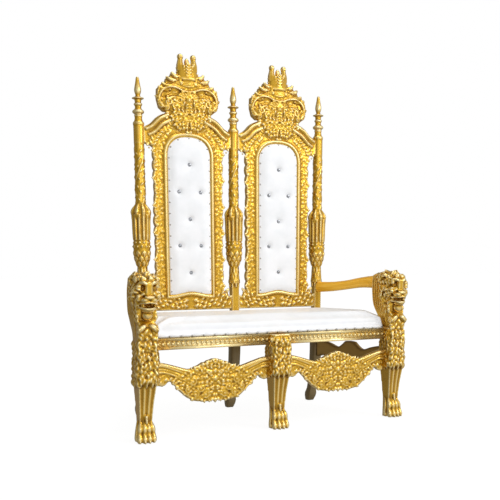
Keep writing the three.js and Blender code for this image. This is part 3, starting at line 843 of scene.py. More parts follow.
def leaned_to(shape, across):
    """A part of the back, drawn upright about x = 0, put that far across and leaned."""
    return reshaped(shape, lambda p: leaned((p.x + across, p.y, p.z)))


frame_shape = back_frame()
for side_name, side in SIDES:
    show(f"carved_frame_{side_name}", leaned_to(frame_shape.copy(), side * BAY_X), BRIGHT_GOLD,
         [f"back_frame_{side_name}"])
frame_shape.free()

# %% [markdown]
# A crest is the showpiece. Two great C-scrolls roll outwards over a leafy middle, pointed plumes step up
# to a crown with two balled prongs, and a spray of acanthus hangs down over the arch. The wood swells
# forwards in lumps round each scroll and not under it, so its bowl lies sunk and shaded below its rim.

# %% The lumps of a crest
CREST_FACE, CREST_REAR = 483, 515


def crest_outline():
    right = [(0, 1526), (98, 1526), (122, 1530), (142, 1548), (152, 1590), (150, 1640), (132, 1648),
             (128, 1664), (112, 1670), (104, 1696), (86, 1702), (78, 1724), (64, 1712), (52, 1722)]
    return both_halves(right)


CREST_LUMPS = (  # x, z, half width, half height, how far it swells forwards
    (86, 1566, 60, 42, 15), (-86, 1566, 60, 42, 15), (0, 1590, 58, 66, 18), (0, 1672, 76, 52, 13),
    (60, 1668, 54, 44, 10), (-60, 1668, 54, 44, 10), (54, 1500, 66, 70, 9), (-54, 1500, 66, 70, 9),
    (0, 1484, 90, 66, 10), (0, 1532, 110, 46, 13))


def crest_swell(x, z):
    """How far the crest swells off its board at a point: the highest of its lumps."""
    return max(domed((cx, cz), (a, b), deep)(x, z) for cx, cz, a, b, deep in CREST_LUMPS)


def on_crest(x, z):
    """Where the small fill goes: all over a crest apart from the bowls."""
    low = np.interp(abs(x), (0, 30, 70, 104, 116, 140), (1428, 1440, 1462, 1480, 1552, 1560))
    high = np.interp(abs(x), (0, 60, 100, 135, 150), (1700, 1706, 1676, 1640, 1620))
    bowl = ((abs(x) - 80) / 52) ** 2 + ((z - 1614) / 34) ** 2 < 1
    return low < z < high and not bowl


print("a crest swells by", round(crest_swell(0, 1590), 1), "mm in the middle and",
      round(crest_swell(80, 1625), 1), "mm in a bowl")

# %% [markdown]
# A scroll's rim is one bold stroke. Three softer ribs cross the bowl under it, curls and hooked leaves
# edge it, and the plumes above are fingers, each with a smaller one on its root.

# %% Carving on a crest
def crest_scroll():
    """The right C-scroll: a thin rim over a sunk bowl, leaves that flow out of the middle, a curled edge."""
    rim = [(0, 1632, 1, 4), (28, 1637, 3, 5), (62, 1649, 7, 6), (98, 1650, 9, 6), (128, 1634, 8, 7),
           (146, 1602, 5, 8), (142, 1566, 0, 8), (122, 1548, -3, 8)]
    strokes = [flowing(rim, 5), flowing([(x * 0.98, z + 11, h - 8, r * 0.9) for x, z, h, r in rim[:5]], 5)]
    for drop, girth in ((24, 7), (36, 8), (50, 8)):
        rib = [(x * (0.93 - drop / 500), z - drop, drop / 12 - 5, girth) for x, z, h, r in rim[1:5]]
        strokes.append(flowing(rib, 5))
    curls = ((104, 1574, 17, 60, 1), (70, 1556, 15, 200, -1), (112, 1546, 12, 300, -1))
    for x, z, size, start, wind in curls:
        strokes += curl((x, z, 1), size, 1.3, start, wind, 5)
    strokes += leaf((26, 1560), 24, 64, 40, 4, 0.2, 1.3, 2)
    for degrees in range(-80, 73, 19):
        a = math.radians(degrees)
        hooked = turned([grown(HOOK, 9)], degrees - 60)
        strokes += moved(hooked, 134 + 13 * math.cos(a), 1598 + 46 * math.sin(a), 2)
    return strokes


def crest_plumes():
    """The fingers that step up to the crown, each with a smaller one on its root."""
    strokes = []
    for i, (x, z) in enumerate([(82, 1729), (108, 1704), (132, 1671), (150, 1650)]):
        root_x, root_z = x * 0.66, z - 26 + 4 * i
        mid_x, mid_z = (x + root_x) / 2 + 4, (z + root_z) / 2 - 4
        strokes.append(flowing([(root_x, root_z, 0, 8), (mid_x, mid_z, 3, 10), (x, z, 0, 7)]))
        vein = [(root_x - 12, root_z + 2, 2, 4), (mid_x - 12, mid_z + 2, 4, 6), (x - 13, z - 12, 2, 4)]
        strokes.append(flowing(vein))
    return strokes


def crest_spray():
    """The leafwork that hangs over the arch."""
    strokes = []
    for angle, length, width in ((-84, 62, 44), (-46, 84, 46), (-14, 90, 46), (16, 84, 42)):
        strokes += leaf((8, 1502), angle, length, width, 4, 0.15, 1.3, 0)
    return strokes + curl((58, 1526), 14, 1.3, 0, 1, 5) + curl((34, 1468), 12, 1.2, 180, -1, 4)


def crest_middle():
    """A shell, a flower and a hanging leaf on the middle line, and four thin ribs under the crown."""
    strokes = moved(shell(58, 40, 7, 62), 0, 1592, 0) + moved(rosette(14, 7), 0, 1588, 1)
    strokes += leaf((0, 1576, -1), -90, 60, 40, 4)
    for i, z in enumerate((1660, 1669, 1678, 1687)):
        strokes.append(flowing([(-30 + i, z + 4, 0, 3.2), (0, z, 1, 3.8), (30 - i, z + 4, 0, 3.2)]))
    return strokes


print("strokes on half a crest:", len(crest_scroll() + crest_plumes() + crest_spray()))

# %% [markdown]
# A crown is a turned band pressed to an oval. It rises into two balled prongs, with a lower bud between
# them. Leaves, beads and small fill stand on its front, and the same strokes again on its back, each bent
# round the band by an amount that grows with the square of the distance from the middle.

# %% Crown and crest
CROWN_Y = 494                        # middle of a crown
CROWN_BAND = [(0, 1692), (57, 1693), (59, 1702), (55, 1712), (51, 1735), (47, 1758), (40, 1768), (0, 1770)]
CROWN_BUD = [(0, 1748, 0, 17), (0, 1768, 0, 15), (0, 1779, 0, 12), (0, 1790, 0, 14), (0, 1800, 0, 11),
             (0, 1810, 0, 4)]
CROWN_PRONG = [(34, 1742, 0, 20), (35, 1768, 0, 18.5), (34.5, 1787, 0, 15.5), (33, 1806, 0, 12)]
CREST_BELOW_REAR = 498               # below its seat a crest stays in front of the frame


def crown():
    body = turned_block(CROWN_BAND)
    bmesh.ops.scale(body, vec=(1, 0.56, 1), verts=body.verts)
    bmesh.ops.translate(body, vec=(0, CROWN_Y, 0), verts=body.verts)
    upright = [np.array(CROWN_BUD)] + both([flowing(CROWN_PRONG), bead(33, 1813.5, 17)])
    front = both(leaf((28, 1706), 84, 76, 34, 5, 0.05)) + leaf((0, 1704, 2), 90, 82, 34, 5)
    front += [bead(x, 1701, 5.5, -abs(x) * 0.12) for x in range(-50, 51, 10)]
    front += tangle(lambda x, z: abs(x) < 48, ((-48, 48), (1708, 1762)), 14, 3, lambda x, z: 90, -1.5)
    bent = [s - np.column_stack([np.zeros((len(s), 2)), 0.011 * s[:, 0] ** 2, np.zeros(len(s))])
            for s in front]
    lines = front_of(upright, CROWN_Y) + front_of(bent, CROWN_Y - 27)
    lines += front_of(flipped(bent, 1, 1, -1), CROWN_Y + 26)
    return together(body, tubes(lines, 1))


def crest():
    rough = board([crest_outline()], (CREST_FACE, CREST_REAR), 3)
    lumps = [egg((x, CREST_FACE + 3, z), (a, d + 3, b)) for x, z, a, b, d in CREST_LUMPS]
    small = tangle(on_crest, ((0, 150), (1428, 1706)), 18, 9,
                   lambda x, z: math.degrees(math.atan2(z - 1560, x)), -3.5, jitter=50)
    strokes = both(crest_scroll() + crest_plumes() + crest_spray() + small) + crest_middle()
    shape = together(rough, *lumps, crown(), tubes(front_of(strokes, CREST_FACE, crest_swell), 1))
    for vert in shape.verts:
        if vert.co.z < CREST_SEAT:
            vert.co.y = min(vert.co.y, CREST_BELOW_REAR)
    return melted(shape, FINE_VOXEL)


crest_shape = crest()
for side_name, side in SIDES:
    show(f"carved_crest_{side_name}", leaned_to(crest_shape.copy(), side * BAY_X), BRIGHT_GOLD,
         [f"crest_{side_name}"])
crest_shape.free()

# %% [markdown]
# A back post is turned and then carved: a square foot under long hanging leaves, a vase with leaves below
# and reeds above, a shaft with a vine wound round it, and a plain top. Its round parts come from the lathe,
# and the reeds, leaves and vine are strokes laid round the axis.

# %% Carving on a back post
POST_FOOT, POST_TOP = 440.5, 1500
SQUARE_HALF, SQUARE_TOP = 20.5, 716  # the square foot
FULL_TURN = 360
GOLDEN_ANGLE = 137.5                 # turns each leaf of a spiral away from the last


def round_post(strokes, radius_at):
    """Wraps strokes round a post: across is an angle in degrees, up is z, height lies off the wood."""
    lines = []
    for s in strokes:
        angle = np.radians(s[:, 0])
        reach = np.array([radius_at(z) for z in s[:, 1]]) + s[:, 2]
        lines.append(np.column_stack([reach * np.sin(angle), BACK_Y - reach * np.cos(angle),
                                      s[:, 1], s[:, 3]]))
    return lines


POST_PROFILE = [(0, POST_FOOT), (21, POST_FOOT), (21, 690), (23, 706), (22, 722), (23, 740), (28, 762),
                (35, 786), (40, 812), (42, 850), (38, 884), (38, 920), (39, 970), (42, 1000), (43, 1018),
                (38, 1032), (30, 1046), (25, 1060), (24.5, 1200), (24, 1338), (24, 1352), (25, 1360),
                (25, 1446), (27, 1452), (27, 1461), (20, 1470), (17, 1486), (20, 1496), (19, POST_TOP),
                (0, POST_TOP)]


def post_radius(z):
    radii, heights = zip(*POST_PROFILE)
    return float(np.interp(z, heights[1:-1], radii[1:-1]))


def leaf_ring(z, height, width, lean, start):
    """Eight leaves round a post: pointed lobes that stand off at the tip, and hang if height < 0."""
    strokes = []
    for a in start + np.arange(0, FULL_TURN, 45):
        for spread, share, girth in ((0, 1.0, 1.0), (-1, 0.72, 0.75), (1, 0.72, 0.75)):
            strokes.append(flowing([
                (a, z, -1, width * 0.3 * girth),
                (a + spread * width * 0.75, z + height * 0.5 * share, lean * 0.4, width * 0.42 * girth),
                (a + spread * width * 1.1, z + height * share, lean, width * 0.24 * girth)], 3))
    return strokes


def vine_sprays():
    """Low leaves and buds in a slow spiral round a shaft."""
    strokes = []
    rng = random.Random(21)
    for i in range(60):
        a, z = GOLDEN_ANGLE * i, 1056 + 4.8 * i
        lean, long = rng.uniform(-22, 22), rng.uniform(12, 22)
        strokes.append(flowing([(a - lean, z - long * 0.6, -2, 2.5), (a, z, -1, rng.uniform(4.2, 5.4)),
                                (a + lean, z + long * 0.6, -2, 2)], 3))
    return strokes


def reeds():
    """Twelve reeds up the vase, and eight fat buds that cap them."""
    reed = ((878, -1, 6.5), (900, 0, 7.5), (950, 0, 8), (985, -1, 8.5), (1004, -3, 9))
    bud = ((986, -3, 6), (1004, -2, 10), (1024, -2, 11), (1042, -3, 8.5), (1058, -3, 4))
    return [flowing([(a, *row) for row in rows], 3) for rows, step in ((reed, 30), (bud, 45))
            for a in range(0, FULL_TURN, step)]


def post_carving():
    strokes = reeds()
    for z, turn in ((866, 0), (846, 15)):
        strokes += [bead(a, z, 5, 0.5) for a in range(turn, FULL_TURN, 30)]
    for ring in ((826, -30, 13, 1, 0), (800, -30, 13, 1, 22), (776, -26, 13, 1, 0), (742, -52, 12, 0, 22),
                 (748, 26, 10, 1, 0), (712, -74, 17, 5, 0), (694, -34, 15, 7, 22)):
        strokes += leaf_ring(*ring)
    for turn in (0, 180):
        strokes.append(np.array([(turn + 0.9 * dz, 1050 + dz, -2, 4.6) for dz in range(0, 292, 7)]))
    return strokes + vine_sprays()


print("strokes round a post:", len(post_carving()))

# %% [markdown]
# The post is melted from its turned wood, its square foot and those strokes. The spire on top is left as
# the lathe made it, so its profile is smoothed and spun, and it keeps its crisp rings.

# %% Posts and spires
def back_post():
    turned_wood = turned_block(POST_PROFILE, (0, BACK_Y, 0), 32)
    square_foot = block((-SQUARE_HALF, BACK_Y - SQUARE_HALF, POST_FOOT),
                        (SQUARE_HALF, BACK_Y + SQUARE_HALF, SQUARE_TOP), 4)
    carving = tubes(round_post(post_carving(), post_radius), 1)
    return melted(together(turned_wood, square_foot, carving), FINE_VOXEL, 1)


SPIRE_PROFILE = [(0, 0), (18, 0), (19, 5), (25, 8), (28, 14), (26, 21), (18, 28), (15, 36), (16, 44),
                 (20, 50), (19, 56), (15, 61), (16, 72), (18, 77), (27, 80), (27.5, 84), (18, 88), (13, 92),
                 (11, 98), (14, 108), (16.5, 120), (15.5, 134), (12, 152), (9, 170), (7.5, 183), (5, 189),
                 (0, 190)]
SPIRE_GAP = 0.3  # keeps a spire's flat foot off the post's flat top


def spire():
    smooth = [(max(r, 0), z) for r, z in smooth_curve(SPIRE_PROFILE, 3)]
    return turned_block(smooth, (0, BACK_Y, POST_TOP + SPIRE_GAP), 40)


post_shape, spire_shape = back_post(), spire()
for side_name, side in PLACES:
    for name, shape, node in (("carved_back_post", post_shape, "back_post"),
                              ("turned_spire", spire_shape, "spire")):
        placed = leaned_to(shape.copy(), side * BACK_POST_X)
        show(f"{name}_{side_name}", placed, BRIGHT_GOLD, [f"{node}_{side_name}"])
post_shape.free()
spire_shape.free()

# %% [markdown]
# A front leg is a flat-sided plank with a fluted front. It stands on a lion's paw with four toes, and its
# head is a square block covered in locks of hair. All three front legs share the shank and the paw. The
# plank is a fretsawn plan, sliced into levels and drawn in at each level.

# %% Shank and paw
BLOCK_HALF, BLOCK_FRONT, BLOCK_BACK, BLOCK_BOTTOM = 44, -46, 46, 250
ANKLE = 92
TOES = (-1.5, -0.5, 0.5, 1.5)  # how many toe widths each toe stands from the middle
SOLE = 0.3                     # the paw is sawn flat this far above the floor
SHANK = ((0, 30, 8, 40), (ANKLE, 28, -14, 38), (BLOCK_BOTTOM, 40, -42, 46))  # z, half width, front y, back y


def shank():
    """A plan 2 wide and 2 deep, with flutes along its front, drawn in to the shank's size at each level."""
    front = [(x, -0.92 - 0.08 * math.cos(math.pi * 3 * (x + 1))) for x in np.linspace(-0.94, 0.94, 33)]
    plan = [(-1, 1), (-1, -0.9)] + front + [(1, -0.9), (1, 1)]
    plank = sliced(plan_board(plan, (0, BLOCK_BOTTOM + 6)), range(12, BLOCK_BOTTOM, 14))
    levels = np.array(SHANK, float)

    def drawn_in(p):
        half, near, far = (np.interp(p.z, levels[:, 0], levels[:, k]) for k in (1, 2, 3))
        bell = 4 * math.sin(math.pi * min(max((p.z - ANKLE) / (BLOCK_BOTTOM - ANKLE), 0), 1)) ** 2
        return Vector((p.x * (half - bell * 0.3), np.interp(p.y, (-1, 1), (near + bell * 0.6, far)), p.z))
    return reshaped(plank, drawn_in)


def paw():
    """Four toes with claws on a lump and a heel block, cords up the sides and a boss on the ankle."""
    lines, lumps = [], [egg((0, 2, 44), (31, 32, 50), -14), block((-29, -4, 0.5), (29, 38, 46), 6)]
    for place in TOES:
        back = abs(place) * 5
        lines.append(flowing([(place * 12, -4 + back, 108, 4), (place * 15, -13 + back, 88, 8),
                              (place * 18, -25 + back, 64, 12.5), (place * 20, -26 + back, 45, 9.5),
                              (place * 20.8, -30 + back, 26, 12.5)]))
        lumps.append(egg((place * 20.8, -32 + back, 19), (12.5, 14, 17)))
        lines.append(flowing([(place * 20.7, -43 + back, 14, 4.5), (place * 20.8, -46 + back, 8, 3.4),
                              (place * 21, -44 + back, 3, 2)]))
    cord = flowing([(28, 14, 92, 6), (34, 6, 60, 8), (36, 8, 22, 9), (34, 12, 8, 7)])
    lines += flipped([cord]) + [cord] + front_of([bead(0, 112, 8)], -19)
    lines.append(flowing([(0, -19, 104, 7), (0, -23, 94, 6), (0, -26, 84, 3)]))
    return capped(sawn(together(*lumps, tubes(lines, 2)), (0, 0, SOLE), (0, 0, -1), discard=True))


print("shank levels:", len(SHANK), "toes:", len(TOES))

# %% [markdown]
# The block's front is a lion's coat: locks of hair hang all over it, round two flowers, two curls and
# three leaves, down to a fringe of tips of uneven length over the fluting. Its sides have one long leaf
# each among the locks. The block's edges are rounded off, so the locks run round its corners.

# %% Hair on a block
BLOCK_EDGE = 11
HAIR_TOP, CENTRE_HAIR_TOP = 436, 428


def block_sides():
    """The two outer faces of a block: a long leaf, with locks of hair round it."""
    lines = []
    swell = rounded_off((BLOCK_FRONT, BLOCK_BOTTOM - 20), (BLOCK_BACK, HAIR_TOP + 40), BLOCK_EDGE)
    for side in (-1, 1):
        face = leaf((4, 296, -1), 90, 130, 46, 6, 0.0, 0.9)
        face += tangle(everywhere, ((-40, 38), (262, HAIR_TOP)), 16, 31 + side,
                       downwards, -2.5, jitter=30, hair=True)
        lines += side_of(face, side * BLOCK_HALF, side, swell)
    return lines


def fringe():
    """Six tips that hang over the shank."""
    return [flowing([(x, z + 12, 0, 5), (x * 0.97 + 2, z - length * 0.4, -1, 6.5),
                     (x * 0.92, z - length, -6, 2.5)])
            for x, z, length in ((-36, 276, 30), (-22, 272, 36), (-9, 276, 24), (5, 274, 38), (18, 278, 28),
                                 (33, 274, 32))]


def block_front(top=HAIR_TOP):
    def round_flower(x, z):
        return math.hypot(x + 2, z - top + 28) > 23
    swell = rounded_off((-BLOCK_HALF, BLOCK_BOTTOM - 20), (BLOCK_HALF, top + 40), BLOCK_EDGE)
    face = moved(rosette(19, 7), -2, top - 28) + moved(rosette(13, 6), 6, top - 118)
    face += curl((22, top - 64), 15, 1.4, 30, 1, 4.5) + curl((-22, top - 84), 14, 1.3, 150, -1, 4.5)
    face += leaf((34, top - 64, -1), 118, 52, 28, 4, 0.2) + leaf((32, top - 152, -1), 115, 52, 28, 4, 0.2)
    face += leaf((-30, top - 142, -1), 60, 56, 30, 4, -0.2) + fringe()
    face += tangle(round_flower, ((-43, 43), (276, top)), 15, 8, downwards, 0.5, jitter=28, hair=True)
    return front_of(face, BLOCK_FRONT, swell)


def leg_parts(top):
    """The shank, the paw and the block, whose top is flat."""
    body = block((-BLOCK_HALF, BLOCK_FRONT, BLOCK_BOTTOM), (BLOCK_HALF, BLOCK_BACK, top + 20), BLOCK_EDGE)
    for vert in body.verts:
        vert.co.z = min(vert.co.z, top)
    return [shank(), paw(), body]


def centre_leg():
    lines = block_front(CENTRE_HAIR_TOP) + block_sides()
    for side in (-1, 1):
        lines += side_of(curl((-22, 370, 2), 17, 1.4, 90, 1, 6), side * BLOCK_HALF, side)
    shape = melted(together(*leg_parts(SEAT_RAIL_TOP - 0.4), tubes(lines, 1)), VOXEL)
    return reshaped(shape, lambda p: Vector((p.x, p.y, max(min(p.z, SEAT_RAIL_TOP), 0.0))))


show("carved_centre_leg", centre_leg(), BRIGHT_GOLD, ["centre_leg"])

# %% [markdown]
# The outer front posts end in lions. The face is built up from lumps, as one would in clay: skull, brow, a
# broad flat nose bridge, muzzle, cheeks and jaw. Brows, lids, cheek folds and lips are strokes, and the
# mouth is left open and dark between the lips, with two small fangs. Everything is drawn about the head's
# own middle line, and the right half is mirrored.

# %% The lion's face
LION_X = 4  # the head's middle line lies this far across from the block's
MIDDLE_LUMPS = (((0, -22, 644), (38, 44, 58)), ((0, -58, 678), (26, 18, 12)), ((0, -80, 621), (20, 12, 9)),
                ((0, -52, 566), (27, 27, 11)), ((0, -42, 546), (23, 22, 22)), ((0, -12, 560), (30, 32, 22)))
SIDE_LUMPS = (((16, -64, 611), (20, 24, 12)), ((27, -50, 657), (6, 6, 5.5)), ((36, -34, 634), (13, 22, 20)),
              ((45, -30, 694), (11, 12, 14)))
FACE_LINES = (  # brow, lower lid, cheek fold, upper lip, lower lip, nostril, fang
    [(10, -72, 676, 7), (22, -68, 683, 9), (35, -54, 680, 9), (43, -42, 666, 7)],
    [(18, -64, 647, 3.5), (28, -56, 644, 4.5), (37, -46, 650, 4)],
    [(19, -68, 638, 5), (30, -58, 631, 8), (40, -44, 618, 8), (43, -28, 600, 7)],
    [(0, -82, 601, 4), (15, -80, 599, 5.5), (28, -68, 599, 5.5), (38, -42, 598, 5)],
    [(0, -78, 573, 5.5), (15, -75, 574, 6), (28, -60, 577, 5.5), (38, -36, 580, 4)],
    [(5, -88, 622, 3.6), (14, -86, 622, 4.6), (20, -77, 628, 3.4)],
    [(11, -66, 600, 2.6), (11, -68, 591, 1.2)])


def lion_face():
    lumps = [egg((LION_X + x, y, z), radii) for (x, y, z), radii in MIDDLE_LUMPS]
    lumps.append(block((LION_X - 17, -76, 616), (LION_X + 17, -26, 684), 8))
    lumps += [egg((LION_X + side * x, y, z), radii) for side in (-1, 1) for (x, y, z), radii in SIDE_LUMPS]
    return lumps, moved(both([flowing(rows) for rows in FACE_LINES]), LION_X)


print("a lion's face:", len(MIDDLE_LUMPS) + 2 * len(SIDE_LUMPS) + 1, "lumps")

# %% [markdown]
# The mane covers a dome behind the face with locks that point outwards. Three rings of bigger locks stand
# in front of it, nearly as far forward as the face itself. Each is tied to the head by a fat strand, so no
# lock hangs in the air. More locks hang down the neck and beside the jaw.

# %% The lion's mane
MANE, MANE_REACH = (LION_X, 24, 648), (51, 80, 74)
FACE_Z = 628                                 # middle of the face
# Each ring of the mane: half its width and height, its y, the size of its locks, their step in degrees.
MANE_RINGS = ((38, 58, -56, 13, 21), (43, 64, -42, 15, 23), (46, 68, -22, 16, 25))
NECK_HALF = 39


def dome_of_locks():
    """Locks on the front of the mane's dome, round the face."""
    (x0, y0, z0), (rx, ry, rz) = MANE, MANE_REACH

    def round_face(x, z):
        off_face = ((x - x0) / 34) ** 2 + ((z - FACE_Z) / 60) ** 2 > 1
        return off_face and math.hypot((x - x0) / rx, (z - z0) / rz) < 0.93

    def outwards(x, z):
        return math.degrees(math.atan2(z - FACE_Z, x - x0))
    locks = tangle(round_face, ((x0 - rx, x0 + rx), (z0 - rz, z0 + rz)), 17, 12,
                   outwards, 1, jitter=30, hair=True)
    return front_of(locks, y0, domed((x0, z0), (rx * 1.04, rz * 1.04), ry))


def rings_of_locks():
    lines = []
    for ring, (wide, tall, y, size, step) in enumerate(MANE_RINGS):
        for i, angle in enumerate(range(-146 + 6 * ring, 147, step)):
            a = math.radians(90 + angle)
            x, z = LION_X + wide * math.cos(a) * 0.86, FACE_Z + 14 + tall * math.sin(a) * 0.86
            lean = 22 if (i + ring) % 2 else -22
            lines += front_of(moved(turned(lock(size), 90 + angle + lean), x, z), y)
            lines.append(np.array([(x, y + 6, z, 8.0), (x * 0.9, y + 40, z * 0.9 + 64, 14.0)]))
    return lines


def locks_on_sides(side):
    """Locks on one side of the dome, down the neck and beside the jaw."""
    (x0, y0, z0), (rx, ry, rz) = MANE, MANE_REACH

    def on_dome(y, z):
        return math.hypot((y - y0) / ry, (z - z0) / rz) < 0.97 and (y < 22 or z > 684)
    tufts = tangle(on_dome, ((y0 - ry, y0 + ry), (z0 - rz, z0 + rz)), 17, 40 + side,
                   lambda y, z: -70 if z < 660 else -20, 1, jitter=35, hair=True)
    hanging = tangle(lambda y, z: z > 528 + 0.8 * max(y + 6, 0), ((-32, 44), (528, 640)), 16, 45 + side,
                     lambda y, z: -84, -1, jitter=20, hair=True)
    beside = tangle(everywhere, ((28, 40), (540, 628)), 13, 60 + side, lambda x, z: -84, jitter=24, hair=True)
    return (side_of(tufts, x0, side, domed((y0, z0), (ry * 1.03, rz * 1.5), rx))
            + side_of(hanging, x0 + side * NECK_HALF, side) + front_of(moved(flipped(beside, side), x0), -28))


def crown_of_tufts():
    """Sprigs and hooks on top of the dome."""
    (x0, y0, z0), (rx, ry, rz) = MANE, MANE_REACH
    tufts = tangle(lambda x, y: math.hypot((x - x0) / rx, (y - y0) / ry) < 0.9,
                   ((x0 - rx, x0 + rx), (y0 - ry, y0 + ry)), 16, 50, lambda x, y: 90, jitter=60)
    return top_of(tufts, z0, domed((x0, y0), (rx * 1.04, ry * 1.04), rz))


def lion_mane():
    return dome_of_locks() + rings_of_locks() + locks_on_sides(-1) + locks_on_sides(1) + crown_of_tufts()


print("strands in the rings of a mane:", len(rings_of_locks()))

# %% [markdown]
# Below the head the neck narrows to a chest with two rolled lobes over the block, and behind it sweeps up
# to where the arm is socketed. Its sides are combed in long folds. Behind, the post is kept flat where the
# arm meets it.

# %% The lion post
CHEST_FACE, ARM_SOCKET_Y = -43, 112
CHEST_LOBE = [(7, -42, 500, 8), (17, -52, 499, 12), (30, -52, 489, 14), (39, -44, 472, 10)]


def lion_neck():
    """The neck's outline is drawn as seen from the side, and turned to face sideways."""
    outline = [(-34, 436), (-40, 456), (-42, 484), (-38, 506), (-22, 523), (-26, 546), (-30, 620), (-30, 690),
               (84, 705), (111, 696), (111, 584), (92, 544), (66, 508), (48, 478), (36, 436)]
    neck = board([outline], (LION_X - 40, LION_X + 40), 9)
    bmesh.ops.rotate(neck, cent=(0, 0, 0), matrix=Matrix.Rotation(math.pi / 2, 3, "Z"), verts=neck.verts)
    bmesh.ops.scale(neck, vec=(-1, 1, 1), verts=neck.verts)
    bmesh.ops.reverse_faces(neck, faces=neck.faces)
    return neck


def neck_folds():
    strokes = []
    for i in range(6):
        y = 103 - 17 * i
        strokes.append(flowing([(y, 702 - 3 * i, -3, 8), (y + 1, 650, 0, 9.5), (y - 1, 600, 0, 9.5),
                                (y - 9, 556, 0, 9), (y * 0.76 - 7, 520, -1, 8),
                                (y * 0.55 - 9, 486, -2, 7), (y * 0.35 - 10, 452, -3, 6)]))
    return strokes


def chest_carving():
    front = tangle(everywhere, ((-42, 42), (450, 492)), 14, 17, downwards, 2, jitter=50, hair=True)
    front += both(curl((29, 458, 2), 12, 1.3, 90, -1, 5)) + leaf((0, 442, 2), 90, 40, 26, 4)
    lines = moved(both([flowing(CHEST_LOBE)]), LION_X) + front_of(front, CHEST_FACE)
    for side in (-1, 1):
        lines += side_of(neck_folds(), LION_X + side * NECK_HALF, side)
        lines += side_of(curl((-44, 490, 2), 15, 1.4, 180, 1, 5), LION_X / 2 + side * 40, side)
    return lines


def lion_post():
    lumps, face_lines = lion_face()
    mane = egg(MANE, MANE_REACH)
    lines = block_front() + block_sides() + face_lines + lion_mane() + chest_carving()
    shape = melted(together(*leg_parts(446), lion_neck(), mane, *lumps, tubes(lines, 1)), VOXEL)

    def in_place(p):
        return Vector((p.x + FRONT_POST_X, min(p.y, ARM_SOCKET_Y) if p.z > 500 else p.y, max(p.z, 0.0)))
    return reshaped(shape, in_place)


show_pair("carved_lion_post", lion_post(), BRIGHT_GOLD, "lion_post")

# %% [markdown]
# The aprons hang between the legs as fretted boards. Each has a deep scalloped middle, with a flower in a
# ring of leaves on a ground of fine curls and locks, and two necks with fluted bands that rise to the legs.

# %% Carving on an apron
APRON_MIDDLE, APRON_HALF, APRON_FACE, APRON_REAR = 318, 273.7, -8, 18


def apron_outline():
    lower = [(0, 160), (16, 166), (30, 158), (50, 157), (62, 164), (76, 160), (96, 164), (112, 172),
             (126, 178), (142, 192), (162, 210), (182, 234), (198, 250), (212, 257), (222, 252), (230, 242),
             (244, 236), (258, 240), (APRON_HALF, 240)]
    upper = [(APRON_HALF, 331), (250, 333), (228, 329), (204, 322), (180, 315), (152, 306), (126, 299),
             (102, 300), (94, 308), (82, 310), (70, 316), (58, 324), (44, 324), (34, 332), (20, 334),
             (10, 339), (0, 338)]
    return both_halves(lower + upper)


def neck_bands():
    """Three flutes down a neck, a bead along its upper and lower edge, and a curl and a leaf at its end."""
    strokes = []
    for drop, girth in ((0, 4.4), (14, 3), (27, 4)):
        strokes.append(flowing([(268, 322 - drop, 0, girth), (236, 320 - drop * 0.95, 1, girth),
                                (196, 306 - drop * 0.9, 2, girth), (150, 288 - drop * 1.1, 1, girth),
                                (112, 268 - drop * 1.2, 0, girth * 0.6)]))
    for edge in ([(112, 292, 0, 4), (150, 299, 0, 5), (196, 315, 0, 5), (236, 325, 0, 5), (268, 326, 0, 5)],
                 [(196, 247, 0, 4), (168, 220, 0, 5), (140, 194, 0, 5), (104, 174, 0, 5), (70, 168, 0, 5)]):
        strokes.append(flowing(edge))
    return strokes + curl((250, 252), 10, 1.3, 120, 1, 4) + leaf((258, 264, -1), 150, 50, 26, 4, 0.1)


def on_apron(x, z):
    low = np.interp(x, (0, 50, 96, 126, 162, 198, 222), (164, 164, 170, 184, 216, 256, 258))
    high = np.interp(x, (0, 44, 70, 102, 126, 180), (330, 316, 306, 294, 284, 268))
    return low < z < high


def apron_carving():
    face = neck_bands()
    leaves = ((16, 84, 46, 270), (-6, 88, 52, 250), (-32, 78, 46, 228), (-70, 46, 30, 214))
    for angle, length, across, up in leaves:
        face += leaf((across, up, -1), angle, length, 40, 5, 0.12, 0.9, 1)
    for x, z, size, start in ((66, 216, 15, 0), (104, 246, 14, 90), (128, 214, 13, 200), (44, 188, 13, 300),
                              (92, 190, 12, 60)):
        face += curl((x, z, 3), size, 1.3, start, 1 if x > 90 else -1, 5)
    face += tangle(on_apron, ((0, 222), (160, 330)), 11, 4,
                   lambda x, z: math.degrees(math.atan2(z - 240, x + 20)), -1, jitter=60, hair=True)
    face += [bead(x, z, 6, -1) for x, z in ((46, 163), (104, 174), (82, 165), (96, 300), (78, 309), (60, 317),
                                            (40, 325), (20, 331))]
    middle = moved(rosette(13, 8), 0, 256, 2) + [bead(x, 163, 9) for x in (-64, 0, 64)]
    for angle in range(-90, 270, 40):
        middle += leaf((0, 256), angle, 40, 18, 3, 0.15)
    return front_of(both(face) + middle, APRON_FACE)


print("strokes on an apron:", len(apron_carving()))

# %% [markdown]
# An apron is drawn about its own middle line, melted into one skin and then moved between its legs.

# %% Front aprons
def front_apron():
    plank = board([apron_outline()], (APRON_FACE, APRON_REAR), 3)
    carved = melted(together(plank, tubes(apron_carving(), 1)), VOXEL)
    bmesh.ops.translate(carved, vec=(APRON_MIDDLE, 0, 0), verts=carved.verts)
    return carved


show_pair("carved_apron", front_apron(), BRIGHT_GOLD, "front_apron")

# %% [markdown]
# The seat rails carry a band along each edge, and on the front a row of beads between the bands. A rail
# is a section drawn once and pushed along its run.

# %% Seat rails
RAIL_BOTTOM, RAIL_EDGE = 390, 1.6
POST_CLEAR = 44.3                    # a front rail starts this far from the middle of its post
BEAD_PITCH, BEAD_RADIUS, BEAD_Z = 22.8, 7.2, 415
SIDE_RUN = (46.3, 472.7)             # the sides run from front post to back post, in depth
SIDE_OUT = 20                        # and this far outside the posts' middles


